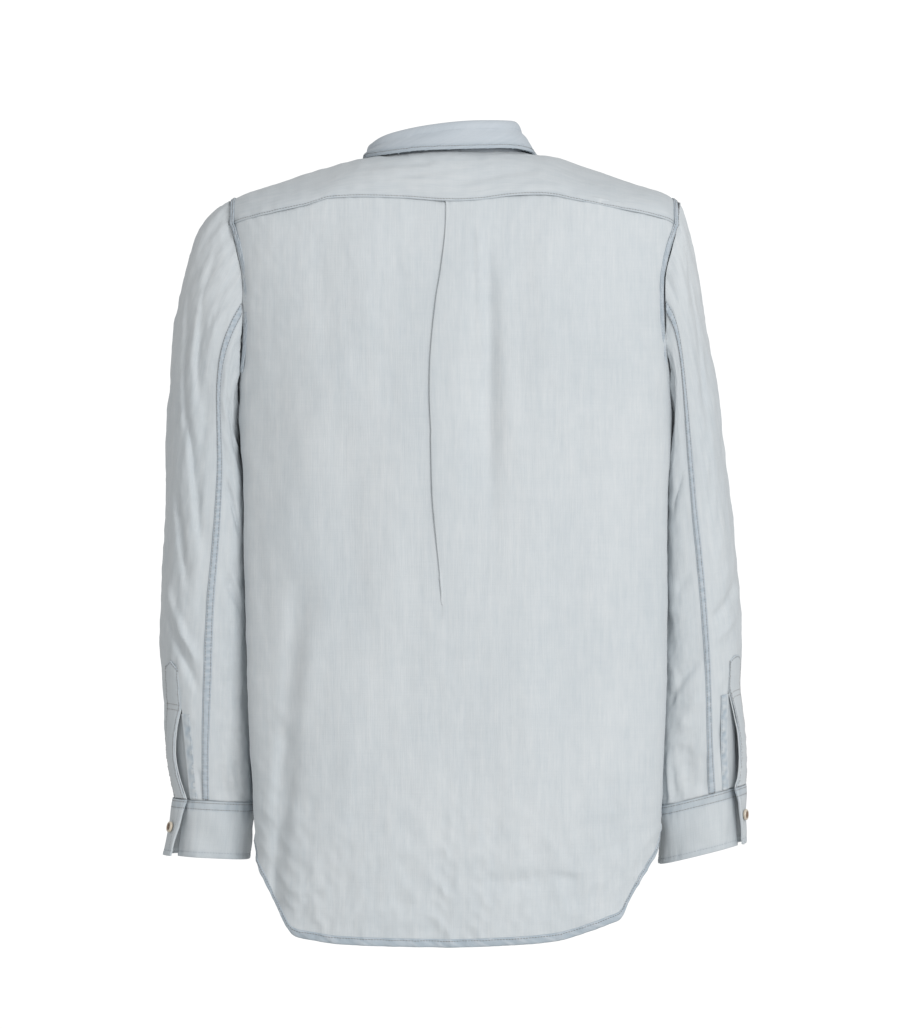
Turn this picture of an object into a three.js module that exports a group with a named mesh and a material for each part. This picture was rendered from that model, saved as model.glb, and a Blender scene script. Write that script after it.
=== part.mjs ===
// A long-sleeved denim shirt, filled out as if it were worn, with no wearer in it.
// Millimetres. +Z is up, the back of the shirt faces +Y and the wearer's left arm is at +X.
// The origin is the middle of the neck opening, level with the neck ends of the shoulders.
import * as THREE from 'three';

// Driving sizes of the cloth and trims
const CLOTH = 1.6;
const DOUBLE_CLOTH = 2.2;
const SEAM_GAP = 0.4;
const STRIP_THICKNESS = 1.2;
const STRIP_GAP = 0.8;
const SIDE_STRIP_GAP = 1.1;
const ARMHOLE_GAP = 1.4;
const YOKE_CORNER_GAP = 1.4;
const SLEEVE_SEAM_GAP = 0.95;
const PANEL_DROP = 1.6;
const YOKE_LAP = 2;
const YOKE_GAP = 0.6;
const HEM_WIDTH = 7;
const HEM_THICKNESS = 3;
const ARMHOLE_STRIP_WIDTH = 9;
const SLEEVE_STRIP_WIDTH = 7;
const SIDE_STRIP_WIDTH = 8;
const FRONT_BAND_WIDTH = 34;
const BACK_LENGTH = 745;
const FRONT_LENGTH = 690;
const TOWER_TOP_POINT = 8;
const RING_LENGTH = 45;
const BUTTON_RADIUS = 5.5;
const BUTTON_THICKNESS = 2.8;
const FRONT_BUTTON_COUNT = 7;
const FRONT_BUTTON_FIRST_Z = -122;
const FRONT_BUTTON_PITCH = 88;

// About how long the cloth is over one whole share of a section, or one whole yoke column
const PANEL_SPAN = 200;
const SIDE_SPAN = 190;
const ARMHOLE_SPAN = 170;
const YOKE_SPAN = 215;

// How square the body's sections are, 2 being an ellipse
const BACK_SQUARENESS = 2.8;
const FRONT_SQUARENESS = 2.5;
const SLEEVE_SQUARENESS = 2.25;
const SEAM_Y = -8;
const UNDERARM_Z = -286;

// Body sections: half widths at the side seams, and the back and front at the centre
const SECTIONS = [
  { z: -800, left: 196, right: 211, back: 102, front: -128, push: 0, roll: 3 },
  { z: -700, left: 197, right: 213, back: 106, front: -132, push: 4, roll: 7 },
  { z: -600, left: 201, right: 216, back: 110, front: -136, push: 9, roll: 11 },
  { z: -500, left: 203, right: 217, back: 113, front: -138, push: 9, roll: 12 },
  { z: -400, left: 205, right: 218, back: 115, front: -139, push: 9, roll: 12 },
  { z: -330, left: 206, right: 218, back: 118, front: -138, push: 8, roll: 12 },
  { z: -286, left: 209, right: 219, back: 120, front: -136, push: 3, roll: 11 },
  { z: -200, left: 220, right: 229, back: 122, front: -128, push: 0, roll: 5 },
  { z: -165, left: 224, right: 233, back: 122, front: -119, push: 0, roll: 3 },
  { z: -120, left: 228, right: 236, back: 118, front: -102, push: 0, roll: 1 },
  { z: -75, left: 231, right: 240, back: 107, front: -84, push: 0, roll: 0 },
  { z: -50, left: 232, right: 241, back: 98, front: -68, push: 0, roll: 0 },
  { z: -30, left: 232, right: 241, back: 88, front: -54, push: 0, roll: 0 },
  { z: -10, left: 232, right: 241, back: 76, front: -38, push: 0, roll: 0 },
];

// Where the armhole crosses each height, behind and in front of the arm
const ARMHOLE_EDGES = [
  { z: -286, back: -8, front: -8 },
  { z: -281, back: 10, front: -26 },
  { z: -265, back: 31, front: -43 },
  { z: -235, back: 50, front: -60 },
  { z: -200, back: 62, front: -70 },
  { z: -165, back: 67, front: -73 },
  { z: -125, back: 66, front: -69 },
  { z: -100, back: 61, front: -60 },
  { z: -76, back: 51, front: -48 },
  { z: -50, back: 38, front: -36 },
  { z: -10, back: 30, front: -30 },
];

// The back hem from the centre (0) to the side seam (1), lower at the tail
const HEM_BACK = {
  left: [
    { s: 0, z: -795 },
    { s: 0.3, z: -792 },
    { s: 0.48, z: -789 },
    { s: 0.57, z: -781 },
    { s: 0.65, z: -760 },
    { s: 0.75, z: -722 },
    { s: 0.85, z: -686 },
    { s: 1, z: -664 },
  ],
  right: [
    { s: 0, z: -795 },
    { s: 0.3, z: -789 },
    { s: 0.45, z: -781 },
    { s: 0.56, z: -771 },
    { s: 0.66, z: -739 },
    { s: 0.78, z: -708 },
    { s: 0.88, z: -684 },
    { s: 1, z: -664 },
  ],
};
const HEM_FRONT = [
  { s: 0, z: -768 },
  { s: 0.45, z: -764 },
  { s: 0.65, z: -742 },
  { s: 0.82, z: -698 },
  { s: 1, z: -664 },
];

// The yoke seam across the back, by its distance from the centre
const YOKE_SEAM = [
  { x: -232, z: -78 },
  { x: -215, z: -69 },
  { x: -164, z: -58 },
  { x: -120, z: -50 },
  { x: -98, z: -46 },
  { x: -60, z: -47 },
  { x: -28, z: -51 },
  { x: 6, z: -52 },
  { x: 50, z: -49 },
  { x: 119, z: -49 },
  { x: 144, z: -56 },
  { x: 177, z: -63 },
  { x: 204, z: -69 },
  { x: 226, z: -76 },
];

// The top of the fronts from the centre (0): the neckline, then the yoke's front seam
const NECK_CORNER = 0.21;
const FRONT_TOP = [
  { s: 0, z: -77 },
  { s: 0.05, z: -73 },
  { s: 0.1, z: -60 },
  { s: 0.155, z: -38 },
  { s: NECK_CORNER, z: -17 },
  { s: 0.3, z: -20 },
  { s: 0.45, z: -31 },
  { s: 0.6, z: -44 },
  { s: 0.8, z: -61 },
  { s: 1, z: -78 },
];

// The neckline round the back, by its angle about the neck: 0 is the left, 90 the back
const NECK_BACK = [
  { angle: -25, x: 77, y: -22, z: -10 },
  { angle: 0, x: 79, y: 4, z: -7 },
  { angle: 30, x: 70, y: 36, z: -3 },
  { angle: 60, x: 41, y: 57, z: -1 },
  { angle: 90, x: 0, y: 65, z: 0 },
  { angle: 120, x: -41, y: 57, z: 0 },
  { angle: 150, x: -70, y: 36, z: 0 },
  { angle: 180, x: -79, y: 4, z: -3 },
  { angle: 205, x: -77, y: -22, z: -9 },
];

const NECK_BACK_REACH = 115;
const NECK_CORNER_ANGLE = 130;

// The collar by angle about the neck: the stand's height, and where the leaf's edge comes to lie
const COLLAR = [
  { angle: -90, stand: 26, x: 50, y: -112, z: -130 },
  { angle: -82, stand: 26, x: 52, y: -111, z: -130 },
  { angle: -70, stand: 26, x: 62, y: -103, z: -108 },
  { angle: -55, stand: 25, x: 75, y: -87, z: -79 },
  { angle: -40, stand: 23, x: 87, y: -74, z: -44 },
  { angle: -25, stand: 20, x: 92, y: -53, z: -18 },
  { angle: -10, stand: 18, x: 91, y: -24, z: -6 },
  { angle: 0, stand: 17, x: 87, y: 2, z: -4 },
  { angle: 20, stand: 19, x: 83, y: 32, z: -3 },
  { angle: 45, stand: 24, x: 65, y: 59, z: -1 },
  { angle: 70, stand: 27, x: 32, y: 75, z: 1 },
  { angle: 90, stand: 28, x: 0, y: 79, z: 2 },
  { angle: 110, stand: 29, x: -32, y: 75, z: 3 },
  { angle: 135, stand: 30, x: -65, y: 59, z: 4 },
  { angle: 160, stand: 28, x: -83, y: 32, z: 3 },
  { angle: 180, stand: 19, x: -87, y: 2, z: 0 },
  { angle: 190, stand: 18, x: -91, y: -24, z: -4 },
  { angle: 205, stand: 20, x: -92, y: -53, z: -17 },
  { angle: 220, stand: 23, x: -87, y: -74, z: -44 },
  { angle: 235, stand: 25, x: -75, y: -87, z: -79 },
  { angle: 250, stand: 26, x: -62, y: -103, z: -108 },
  { angle: 262, stand: 26, x: -52, y: -111, z: -130 },
  { angle: 270, stand: 26, x: -50, y: -112, z: -130 },
];

// Each height at which the armhole loop passes an angle about the arm
const LOOP_HEIGHTS = [
  { angle: 48, z: -76 },
  { angle: 60, z: -92 },
  { angle: 75, z: -120 },
  { angle: 90, z: -152 },
  { angle: 110, z: -196 },
  { angle: 130, z: -236 },
  { angle: 150, z: -266 },
  { angle: 165, z: -281 },
  { angle: 180, z: -286 },
];
const YOKE_LOOP_ANGLE = 48;

// Sleeve rings from the armhole (0) to the cuff (12): the outer and inner points of each,
// how far back its middle lies, its half depth, and how much it keeps of the armhole's form
const SLEEVES = {
  left: [
    { ring: 0, outX: 226, outZ: -49, inX: 212, inZ: -286, y: -6, depth: 75, loop: 1 },
    { ring: 1, outX: 245, outZ: -64, inX: 217, inZ: -291, y: -4, depth: 76, loop: 0.62 },
    { ring: 2, outX: 259, outZ: -92, inX: 218, inZ: -297, y: -6, depth: 75, loop: 0.3 },
    { ring: 3, outX: 268, outZ: -134, inX: 217, inZ: -305, y: -8, depth: 73, loop: 0.1 },
    { ring: 4, outX: 275, outZ: -188, inX: 214, inZ: -318, y: -10, depth: 71, loop: 0 },
    { ring: 5, outX: 281, outZ: -250, inX: 211, inZ: -340, y: -12, depth: 69, loop: 0 },
    { ring: 6, outX: 284, outZ: -320, inX: 208, inZ: -380, y: -14, depth: 67, loop: 0 },
    { ring: 7, outX: 287, outZ: -390, inX: 206, inZ: -432, y: -16, depth: 65, loop: 0 },
    { ring: 8, outX: 290, outZ: -450, inX: 205, inZ: -478, y: -18, depth: 63, loop: 0 },
    { ring: 9, outX: 291, outZ: -500, inX: 205, inZ: -518, y: -20, depth: 60, loop: 0 },
    { ring: 10, outX: 289, outZ: -545, inX: 204, inZ: -556, y: -22, depth: 57, loop: 0 },
    { ring: 11, outX: 284, outZ: -595, inX: 202, inZ: -602, y: -24, depth: 52, loop: 0 },
    { ring: 12, outX: 278, outZ: -648, inX: 200, inZ: -652, y: -26, depth: 43, loop: 0 },
  ],
  right: [
    { ring: 0, outX: 235, outZ: -49, inX: 222, inZ: -286, y: -6, depth: 75, loop: 1 },
    { ring: 1, outX: 243, outZ: -70, inX: 226, inZ: -291, y: -4, depth: 76, loop: 0.62 },
    { ring: 2, outX: 248, outZ: -104, inX: 227, inZ: -297, y: -6, depth: 75, loop: 0.3 },
    { ring: 3, outX: 253, outZ: -146, inX: 226, inZ: -305, y: -8, depth: 73, loop: 0.1 },
    { ring: 4, outX: 260, outZ: -196, inX: 224, inZ: -318, y: -10, depth: 71, loop: 0 },
    { ring: 5, outX: 270, outZ: -256, inX: 221, inZ: -340, y: -12, depth: 69, loop: 0 },
    { ring: 6, outX: 279, outZ: -322, inX: 219, inZ: -380, y: -14, depth: 67, loop: 0 },
    { ring: 7, outX: 285, outZ: -390, inX: 218, inZ: -432, y: -16, depth: 65, loop: 0 },
    { ring: 8, outX: 289, outZ: -446, inX: 217, inZ: -478, y: -18, depth: 63, loop: 0 },
    { ring: 9, outX: 291, outZ: -494, inX: 216, inZ: -518, y: -20, depth: 60, loop: 0 },
    { ring: 10, outX: 292, outZ: -538, inX: 215, inZ: -558, y: -22, depth: 57, loop: 0 },
    { ring: 11, outX: 293, outZ: -586, inX: 213, inZ: -604, y: -24, depth: 52, loop: 0 },
    { ring: 12, outX: 295, outZ: -635, inX: 214, inZ: -656, y: -26, depth: 43, loop: 0 },
  ],
};
const LAST_RING = 12;

// Where the felled seam runs down the back of each sleeve, as an angle about the arm
const SLEEVE_SEAMS = {
  left: [
    { ring: 0, angle: 84 },
    { ring: 1.5, angle: 80 },
    { ring: 4, angle: 87 },
    { ring: 6, angle: 98 },
    { ring: 9, angle: 98 },
    { ring: 12, angle: 88 },
  ],
  right: [
    { ring: 0, angle: 84 },
    { ring: 2, angle: 80 },
    { ring: 5, angle: 82 },
    { ring: 8, angle: 82 },
    { ring: 12, angle: 74 },
  ],
};
const UNDERARM_ANGLE = 180;

// The opening above each cuff: its angle, how far its outer edge has sprung forward and out
const OPENINGS = {
  left: { angle: 58, top: 10.4, bottomShift: 12, middleShift: 20, lift: 3, bulge: 3 },
  right: { angle: 52, top: 10.0, bottomShift: 20, middleShift: 22, lift: 4, bulge: 4 },
};
const TOWER_ANGLE = 27;
const TOWER_TOP_RING = 9.15;
const TOWER_GAP = 1.2;
const BINDING_ANGLE = 11;

// Large folds of the body: a row for each, from one end to the other, deep if negative
const BODY_FOLDS = [
  { x0: 149, z0: -430, x1: 160, z1: -575, width: 13, depth: -5 },
  { x0: 160, z0: -575, x1: 168, z1: -660, width: 12, depth: -9 },
  { x0: 168, z0: -660, x1: 173, z1: -760, width: 11, depth: -9 },
  { x0: 138, z0: -470, x1: 158, z1: -650, width: 12, depth: 4 },
  { x0: 158, z0: -650, x1: 158, z1: -760, width: 11, depth: 5 },
  { x0: -40, z0: -110, x1: -44, z1: -400, width: 12, depth: -5 },
  { x0: -168, z0: -650, x1: -166, z1: -765, width: 10, depth: -4 },
  { x0: -29, z0: -728, x1: -129, z1: -724, width: 9, depth: -3 },
  { x0: 110, z0: -250, x1: 90, z1: -520, width: 26, depth: -3 },
  { x0: -120, z0: -300, x1: -110, z1: -640, width: 28, depth: -3 },
];

// Large folds of the sleeves, by ring and angle about the arm
const SLEEVE_FOLDS = {
  left: [
    { ring0: 1.2, angle0: 56, ring1: 4.2, angle1: 78, width: 9, depth: -5 },
    { ring0: 3, angle0: 42, ring1: 5.2, angle1: 62, width: 9, depth: -4 },
    { ring0: 4.9, angle0: 66, ring1: 6.8, angle1: 86, width: 8, depth: -5 },
    { ring0: 6.2, angle0: 44, ring1: 7.5, angle1: 68, width: 8, depth: -4 },
    { ring0: 7.6, angle0: 30, ring1: 9, angle1: 84, width: 9, depth: 4 },
    { ring0: 5.3, angle0: 112, ring1: 6.2, angle1: 132, width: 8, depth: -4 },
    { ring0: 2.5, angle0: 300, ring1: 6.5, angle1: 320, width: 12, depth: -5 },
    { ring0: 6.5, angle0: 250, ring1: 8, angle1: 300, width: 10, depth: -5 },
  ],
  right: [
    { ring0: 5.2, angle0: 104, ring1: 5.7, angle1: 125, width: 8, depth: -4 },
    { ring0: 8.2, angle0: 78, ring1: 7.7, angle1: 28, width: 9, depth: -4 },
    { ring0: 2, angle0: 50, ring1: 5.5, angle1: 64, width: 10, depth: -3 },
    { ring0: 2.5, angle0: 300, ring1: 6.5, angle1: 322, width: 12, depth: -5 },
    { ring0: 6.8, angle0: 250, ring1: 8.2, angle1: 304, width: 10, depth: -5 },
  ],
};

// The centre pleat: its open edge runs down from the yoke seam and fades out
const PLEAT_EDGE = [
  { z: -812, x: 6 },
  { z: -479, x: 8 },
  { z: -416, x: 12.5 },
  { z: -352, x: 17.4 },
  { z: -290, x: 19 },
  { z: -248, x: 20.5 },
  { z: -209, x: 19.4 },
  { z: -156, x: 14 },
  { z: -125, x: 9 },
  { z: -82, x: 4.5 },
  { z: -30, x: 5 },
];
const PLEAT_UNDERLAP = 9;
const PLEAT_LAYER = 3.4;
const PLEAT_PRESSED = 0.8;
const PLEAT_END_Z = -485;

const COLOURS = {
  cloth: new THREE.Color(0.60, 0.655, 0.70),
  trim: new THREE.Color(0.54, 0.60, 0.655),
  button: new THREE.Color(0.72, 0.68, 0.60),
};

const shirt = new THREE.Group();
shirt.name = 'denim_shirt';

// Small helpers for numbers and tables

function mix(a, b, t) {
  return a + (b - a) * t;
}

function smooth(from, to, value) {
  const t = Math.min(1, Math.max(0, (value - from) / (to - from)));
  return t * t * (3 - 2 * t);
}

function bell(distance, width) {
  return Math.exp(-(distance * distance) / (width * width));
}

function degrees(angle) {
  return (angle * Math.PI) / 180;
}

// Reads one column of a table at any value of its key column, along a smooth curve
function read(table, key, column, value) {
  const last = table.length - 1;
  if (value <= table[0][key]) return table[0][column];
  if (value >= table[last][key]) return table[last][column];
  let i = 0;
  while (table[i + 1][key] < value) i += 1;
  const slope = (a, b) => (table[b][column] - table[a][column]) / (table[b][key] - table[a][key]);
  const span = table[i + 1][key] - table[i][key];
  const here = slope(i, i + 1);
  const before = i > 0 ? slope(i - 1, i + 1) : here;
  const after = i + 2 <= last ? slope(i, i + 2) : here;
  const t = (value - table[i][key]) / span;
  const t2 = t * t;
  const t3 = t2 * t;
  const start = table[i][column] * (2 * t3 - 3 * t2 + 1) + before * span * (t3 - 2 * t2 + t);
  const end = table[i + 1][column] * (3 * t2 - 2 * t3) + after * span * (t3 - t2);
  return start + end;
}

function hermite(p0, t0, p1, t1, v) {
  const v2 = v * v;
  const v3 = v2 * v;
  const point = new THREE.Vector3();
  point.addScaledVector(p0, 2 * v3 - 3 * v2 + 1);
  point.addScaledVector(t0, v3 - 2 * v2 + v);
  point.addScaledVector(p1, 3 * v2 - 2 * v3);
  point.addScaledVector(t1, v3 - v2);
  return point;
}

// Height of a fold at a point: full along the row's line, fading at its ends and sides
function foldHeight(x, z, x0, z0, x1, z1, width, depth) {
  const dx = x1 - x0;
  const dz = z1 - z0;
  const length2 = dx * dx + dz * dz;
  const along = ((x - x0) * dx + (z - z0) * dz) / length2;
  const inside = Math.min(1, Math.max(0, along));
  const away = Math.hypot(x - x0 - dx * inside, z - z0 - dz * inside);
  const ends = smooth(-0.12, 0.2, along) * (1 - smooth(0.8, 1.12, along));
  return depth * ends * bell(away, width);
}

// The body's surface

function halfWidth(side, z) {
  return read(SECTIONS, 'z', side, z);
}

function sideSign(side) {
  return side === 'left' ? 1 : -1;
}

// Largest section angle at a height: the side seam below the arm, the armhole above it
function edgeAngle(face, z) {
  if (z <= UNDERARM_Z) return 90;
  const edgeY = read(ARMHOLE_EDGES, 'z', face, z);
  const centreY = read(SECTIONS, 'z', face, z);
  const square = face === 'back' ? BACK_SQUARENESS : FRONT_SQUARENESS;
  const share = Math.max(0, (edgeY - SEAM_Y) / (centreY - SEAM_Y));
  return (Math.acos(Math.pow(share, square / 2)) * 180) / Math.PI;
}

// The pleat at a height: where its edge is, how far it laps and how far each layer stands out
function pleatAt(z) {
  const edge = read(PLEAT_EDGE, 'z', 'x', z);
  const full = smooth(PLEAT_END_Z, PLEAT_END_Z + 230, z);
  const lap = PLEAT_UNDERLAP * full * full;
  const pressed = mix(1, PLEAT_PRESSED, smooth(-150, -60, z));
  const rise = PLEAT_LAYER * Math.sqrt(full) * pressed;
  return { edge, lap, rise };
}

// How far the pleat's layers stand out at a distance from the centre, for what lies over them
function pleatBulge(x, z) {
  const { edge, rise } = pleatAt(z);
  return 2 * rise * smooth(edge + 12, edge + 2, x) * smooth(edge - 46, edge - 26, x);
}

// A point of the body at a height. The share is 0 at the centre and 1 at the seam or armhole.
function bodyPoint(face, side, share, z) {
  const square = face === 'back' ? BACK_SQUARENESS : FRONT_SQUARENESS;
  const angle = degrees(edgeAngle(face, z) * share);
  const width = halfWidth(side, z);
  const centreY = read(SECTIONS, 'z', face, z);
  const across = Math.sign(angle) * Math.pow(Math.abs(Math.sin(angle)), 2 / square);
  const away = Math.pow(Math.max(0, Math.cos(angle)), 2 / square);
  let x = width * across;
  let y = SEAM_Y + (centreY - SEAM_Y) * away;
  x += read(SECTIONS, 'z', 'roll', z) * bell(y - 60, 30) * smooth(0.4, 0.8, share);
  x -= read(SECTIONS, 'z', 'push', z) * bell(y + 15, 46);
  const tuck = smooth(-290, -240, z) * (1 - smooth(-130, -95, z));
  if (face === 'back') x -= 3 * tuck * smooth(0.88, 1, share);
  x *= sideSign(side);
  if (face === 'back') {
    for (const fold of BODY_FOLDS) {
      y += foldHeight(x, z, fold.x0, fold.z0, fold.x1, fold.z1, fold.width, fold.depth);
    }
  }
  return new THREE.Vector3(x, y, z);
}

function hemHeight(face, side, share) {
  if (face === 'back') return read(HEM_BACK[side], 's', 'z', share);
  return read(HEM_FRONT, 's', 'z', share);
}

function topHeight(face, side, share) {
  if (face === 'front') return read(FRONT_TOP, 's', 'z', share);
  let z = -60;
  for (let pass = 0; pass < 3; pass += 1) {
    z = read(YOKE_SEAM, 'x', 'z', bodyPoint('back', side, share, z).x);
  }
  return z;
}

function panelPoint(face, side, share, up) {
  const top = topHeight(face, side, share) - PANEL_DROP;
  const z = mix(hemHeight(face, side, share), top, up);
  return bodyPoint(face, side, share, z);
}

// The armhole, as a closed loop about the arm: 0 is the shoulder, 90 the back, 180 underneath

function armholePoint(side, angle) {
  const turn = ((angle % 360) + 360) % 360;
  const fromTop = turn > 180 ? 360 - turn : turn;
  const face = turn > 180 ? 'front' : 'back';
  if (fromTop >= YOKE_LOOP_ANGLE) {
    return bodyPoint(face, side, 1, read(LOOP_HEIGHTS, 'angle', 'z', fromTop));
  }
  const signed = turn > 180 ? turn - 360 : turn;
  return yokePoint(side, 0, (YOKE_LOOP_ANGLE - signed) / (2 * YOKE_LOOP_ANGLE));
}

// The neckline, by its angle about the neck

function neckPoint(turned) {
  let angle = turned;
  if (angle < -90) angle += 360;
  if (angle > 270) angle -= 360;
  const side = angle < 90 ? 'left' : 'right';
  const fromBack = Math.abs(angle - 90);
  if (fromBack > NECK_BACK_REACH) {
    const reach = 180 - NECK_CORNER_ANGLE;
    const forward = Math.max(0, (fromBack - NECK_CORNER_ANGLE) / reach);
    const share = mix(NECK_CORNER, 0, forward);
    const front = bodyPoint('front', side, share, read(FRONT_TOP, 's', 'z', share));
    if (fromBack >= NECK_CORNER_ANGLE) return front;
    const span = NECK_CORNER_ANGLE - NECK_BACK_REACH;
    const end = side === 'left' ? 90 - NECK_BACK_REACH : 90 + NECK_BACK_REACH;
    return neckPoint(end).lerp(front, (fromBack - NECK_BACK_REACH) / span);
  }
  const x = read(NECK_BACK, 'angle', 'x', angle);
  const y = read(NECK_BACK, 'angle', 'y', angle);
  const z = read(NECK_BACK, 'angle', 'z', angle);
  return new THREE.Vector3(x, y, z);
}

// The yoke lies over the shoulders, from the back seam to the front seam or the neckline.
// Column 0 is the armhole and 1 the centre back.

const YOKE_COLUMNS = [
  { column: 0, share: 1, end: 1, rise: 108, fall: -112, lean: -6 },
  { column: 0.2, share: 0.74, end: 0.74, rise: 112, fall: -108, lean: -20 },
  { column: 0.42, share: 0.5, end: 0.42, rise: 106, fall: -100, lean: -26 },
  { column: 0.55, share: 0.4, end: NECK_CORNER, rise: 98, fall: -72, lean: -26 },
  { column: 0.7, share: 0.28, end: 0, rise: 84, fall: -14, lean: -22 },
  { column: 0.85, share: 0.14, end: 0, rise: 70, fall: 20, lean: -20 },
  { column: 1, share: 0, end: 0, rise: 64, fall: 30, lean: -20 },
];
const YOKE_NECK_COLUMN = 0.55;

// The yoke's edges lie on the tops of the panels, a gap further out, and lap the back a little
function overPanel(face, side, share) {
  const surface = (u, v) => bodyPoint(face, side, u / PANEL_SPAN, v);
  const lapped = face === 'back' ? 1 - smooth(0.6, 0.9, share) : 0;
  const top = topHeight(face, side, share) - YOKE_LAP * lapped;
  const distance = CLOTH + YOKE_GAP * (1 + lapped);
  const { point } = lifted(surface, share * PANEL_SPAN, top, distance, bodyMiddle(top));
  if (face === 'back') point.y += pleatBulge(point.x, top);
  return point;
}

function yokePoint(side, column, forward) {
  const share = read(YOKE_COLUMNS, 'column', 'share', column);
  const start = overPanel('back', side, share);
  let end;
  if (column <= YOKE_NECK_COLUMN) {
    end = overPanel('front', side, read(YOKE_COLUMNS, 'column', 'end', column));
  } else {
    const turn = (column - YOKE_NECK_COLUMN) / (1 - YOKE_NECK_COLUMN);
    const angle = mix(90 - NECK_CORNER_ANGLE, 90, turn);
    end = neckPoint(side === 'left' ? angle : 180 - angle);
  }
  const sign = sideSign(side);
  const lean = read(YOKE_COLUMNS, 'column', 'lean', column);
  const rise = read(YOKE_COLUMNS, 'column', 'rise', column);
  const fall = read(YOKE_COLUMNS, 'column', 'fall', column);
  const bow = 16 * (1 - smooth(0, 0.3, column));
  const across = end.x - start.x;
  const startSlope = new THREE.Vector3(across + sign * bow, lean, rise);
  const endSlope = new THREE.Vector3(across - sign * bow, lean * 1.6, fall);
  return hermite(start, startSlope, end, endSlope, forward);
}

// The sleeves

function sleevePoint(side, ring, angle) {
  const rows = SLEEVES[side];
  const value = (column) => read(rows, 'ring', column, ring);
  const sign = sideSign(side);
  const outer = new THREE.Vector3(sign * value('outX'), 0, value('outZ'));
  const inner = new THREE.Vector3(sign * value('inX'), 0, value('inZ'));
  const radians = degrees(angle);
  const along = Math.cos(radians);
  const back = Math.sin(radians);
  const squareness = 2 / SLEEVE_SQUARENESS;
  const point = outer.clone().add(inner).multiplyScalar(0.5);
  const half = outer.clone().sub(inner).multiplyScalar(0.5);
  point.addScaledVector(half, Math.sign(along) * Math.pow(Math.abs(along), squareness));
  point.y = value('y') + value('depth') * Math.sign(back) * Math.pow(Math.abs(back), squareness);
  const keep = value('loop');
  if (keep > 0) point.lerp(armholePoint(side, angle), keep);
  const turn = Math.abs(((angle + 180) % 360 + 360) % 360 - 180);
  const gap = ARMHOLE_GAP + YOKE_CORNER_GAP * bell(turn - YOKE_LOOP_ANGLE - 6, 14);
  point.x += sign * gap * (1 - smooth(0, 0.4, ring));
  return sleeveFolded(side, ring, angle, point);
}

function sleeveFolded(side, ring, angle, point) {
  const rows = SLEEVES[side];
  const middle = new THREE.Vector3(
    (sideSign(side) * (read(rows, 'ring', 'outX', ring) + read(rows, 'ring', 'inX', ring))) / 2,
    read(rows, 'ring', 'y', ring),
    (read(rows, 'ring', 'outZ', ring) + read(rows, 'ring', 'inZ', ring)) / 2,
  );
  const outward = point.clone().sub(middle).normalize();
  const turn = ((angle % 360) + 360) % 360;
  let height = 0;
  for (const fold of SLEEVE_FOLDS[side]) {
    height += foldHeight(
      turn, ring * RING_LENGTH,
      fold.angle0, fold.ring0 * RING_LENGTH, fold.angle1, fold.ring1 * RING_LENGTH,
      fold.width, fold.depth,
    );
  }
  return point.addScaledVector(outward, height);
}

// The sleeve's cloth beside its opening: edge -1 is the binding's side, +1 the tower's
function openSleevePoint(side, ring, angle, edge) {
  const opening = OPENINGS[side];
  const down = Math.max(0, (ring - opening.top) / (LAST_RING - opening.top));
  if (edge <= 0 || down === 0) return sleevePoint(side, ring, angle);
  const nearness = Math.max(0, 1 - (opening.angle - angle) / 75);
  const pull = nearness * nearness * (3 - 2 * nearness);
  const middle = Math.sin(Math.PI * Math.min(1, down)) * opening.middleShift;
  const bottom = smooth(0, 1, down) * opening.bottomShift;
  const shifted = angle - pull * (middle * 0.6 + bottom);
  const point = sleevePoint(side, ring, shifted);
  const centre = sleevePoint(side, ring, shifted + 180);
  const outward = point.clone().sub(centre).normalize();
  const lift = opening.lift * smooth(0, 1, down) + opening.bulge * Math.sin(Math.PI * down);
  return point.addScaledVector(outward, pull * lift);
}

// A cloth wall: an outer surface of quads, an inner one moved in, and rims round its edges

function wall(points, quads, thickness) {
  const normals = points.map(() => new THREE.Vector3());
  for (const [a, b, c, d] of quads) {
    const first = points[c].clone().sub(points[a]);
    const second = points[d].clone().sub(points[b]);
    const normal = first.cross(second);
    for (const corner of [a, b, c, d]) normals[corner].add(normal);
  }
  const count = points.length;
  const positions = [];
  for (const point of points) positions.push(point.x, point.y, point.z);
  points.forEach((point, i) => {
    const depth = typeof thickness === 'number' ? thickness : thickness[i];
    const inner = point.clone().addScaledVector(normals[i].normalize(), -depth);
    positions.push(inner.x, inner.y, inner.z);
  });
  const triangles = [];
  const edges = new Map();
  for (const [a, b, c, d] of quads) {
    triangles.push(a, b, c, a, c, d);
    triangles.push(count + a, count + c, count + b, count + a, count + d, count + c);
    for (const [from, to] of [[a, b], [b, c], [c, d], [d, a]]) {
      const back = `${to}_${from}`;
      if (edges.has(back)) edges.delete(back);
      else edges.set(`${from}_${to}`, [from, to]);
    }
  }
  for (const [from, to] of edges.values()) {
    triangles.push(from, count + from, count + to, from, count + to, to);
  }
  const geometry = new THREE.BufferGeometry();
  geometry.setAttribute('position', new THREE.Float32BufferAttribute(positions, 3));
  geometry.setIndex(triangles);
  return geometry;
}

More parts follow.
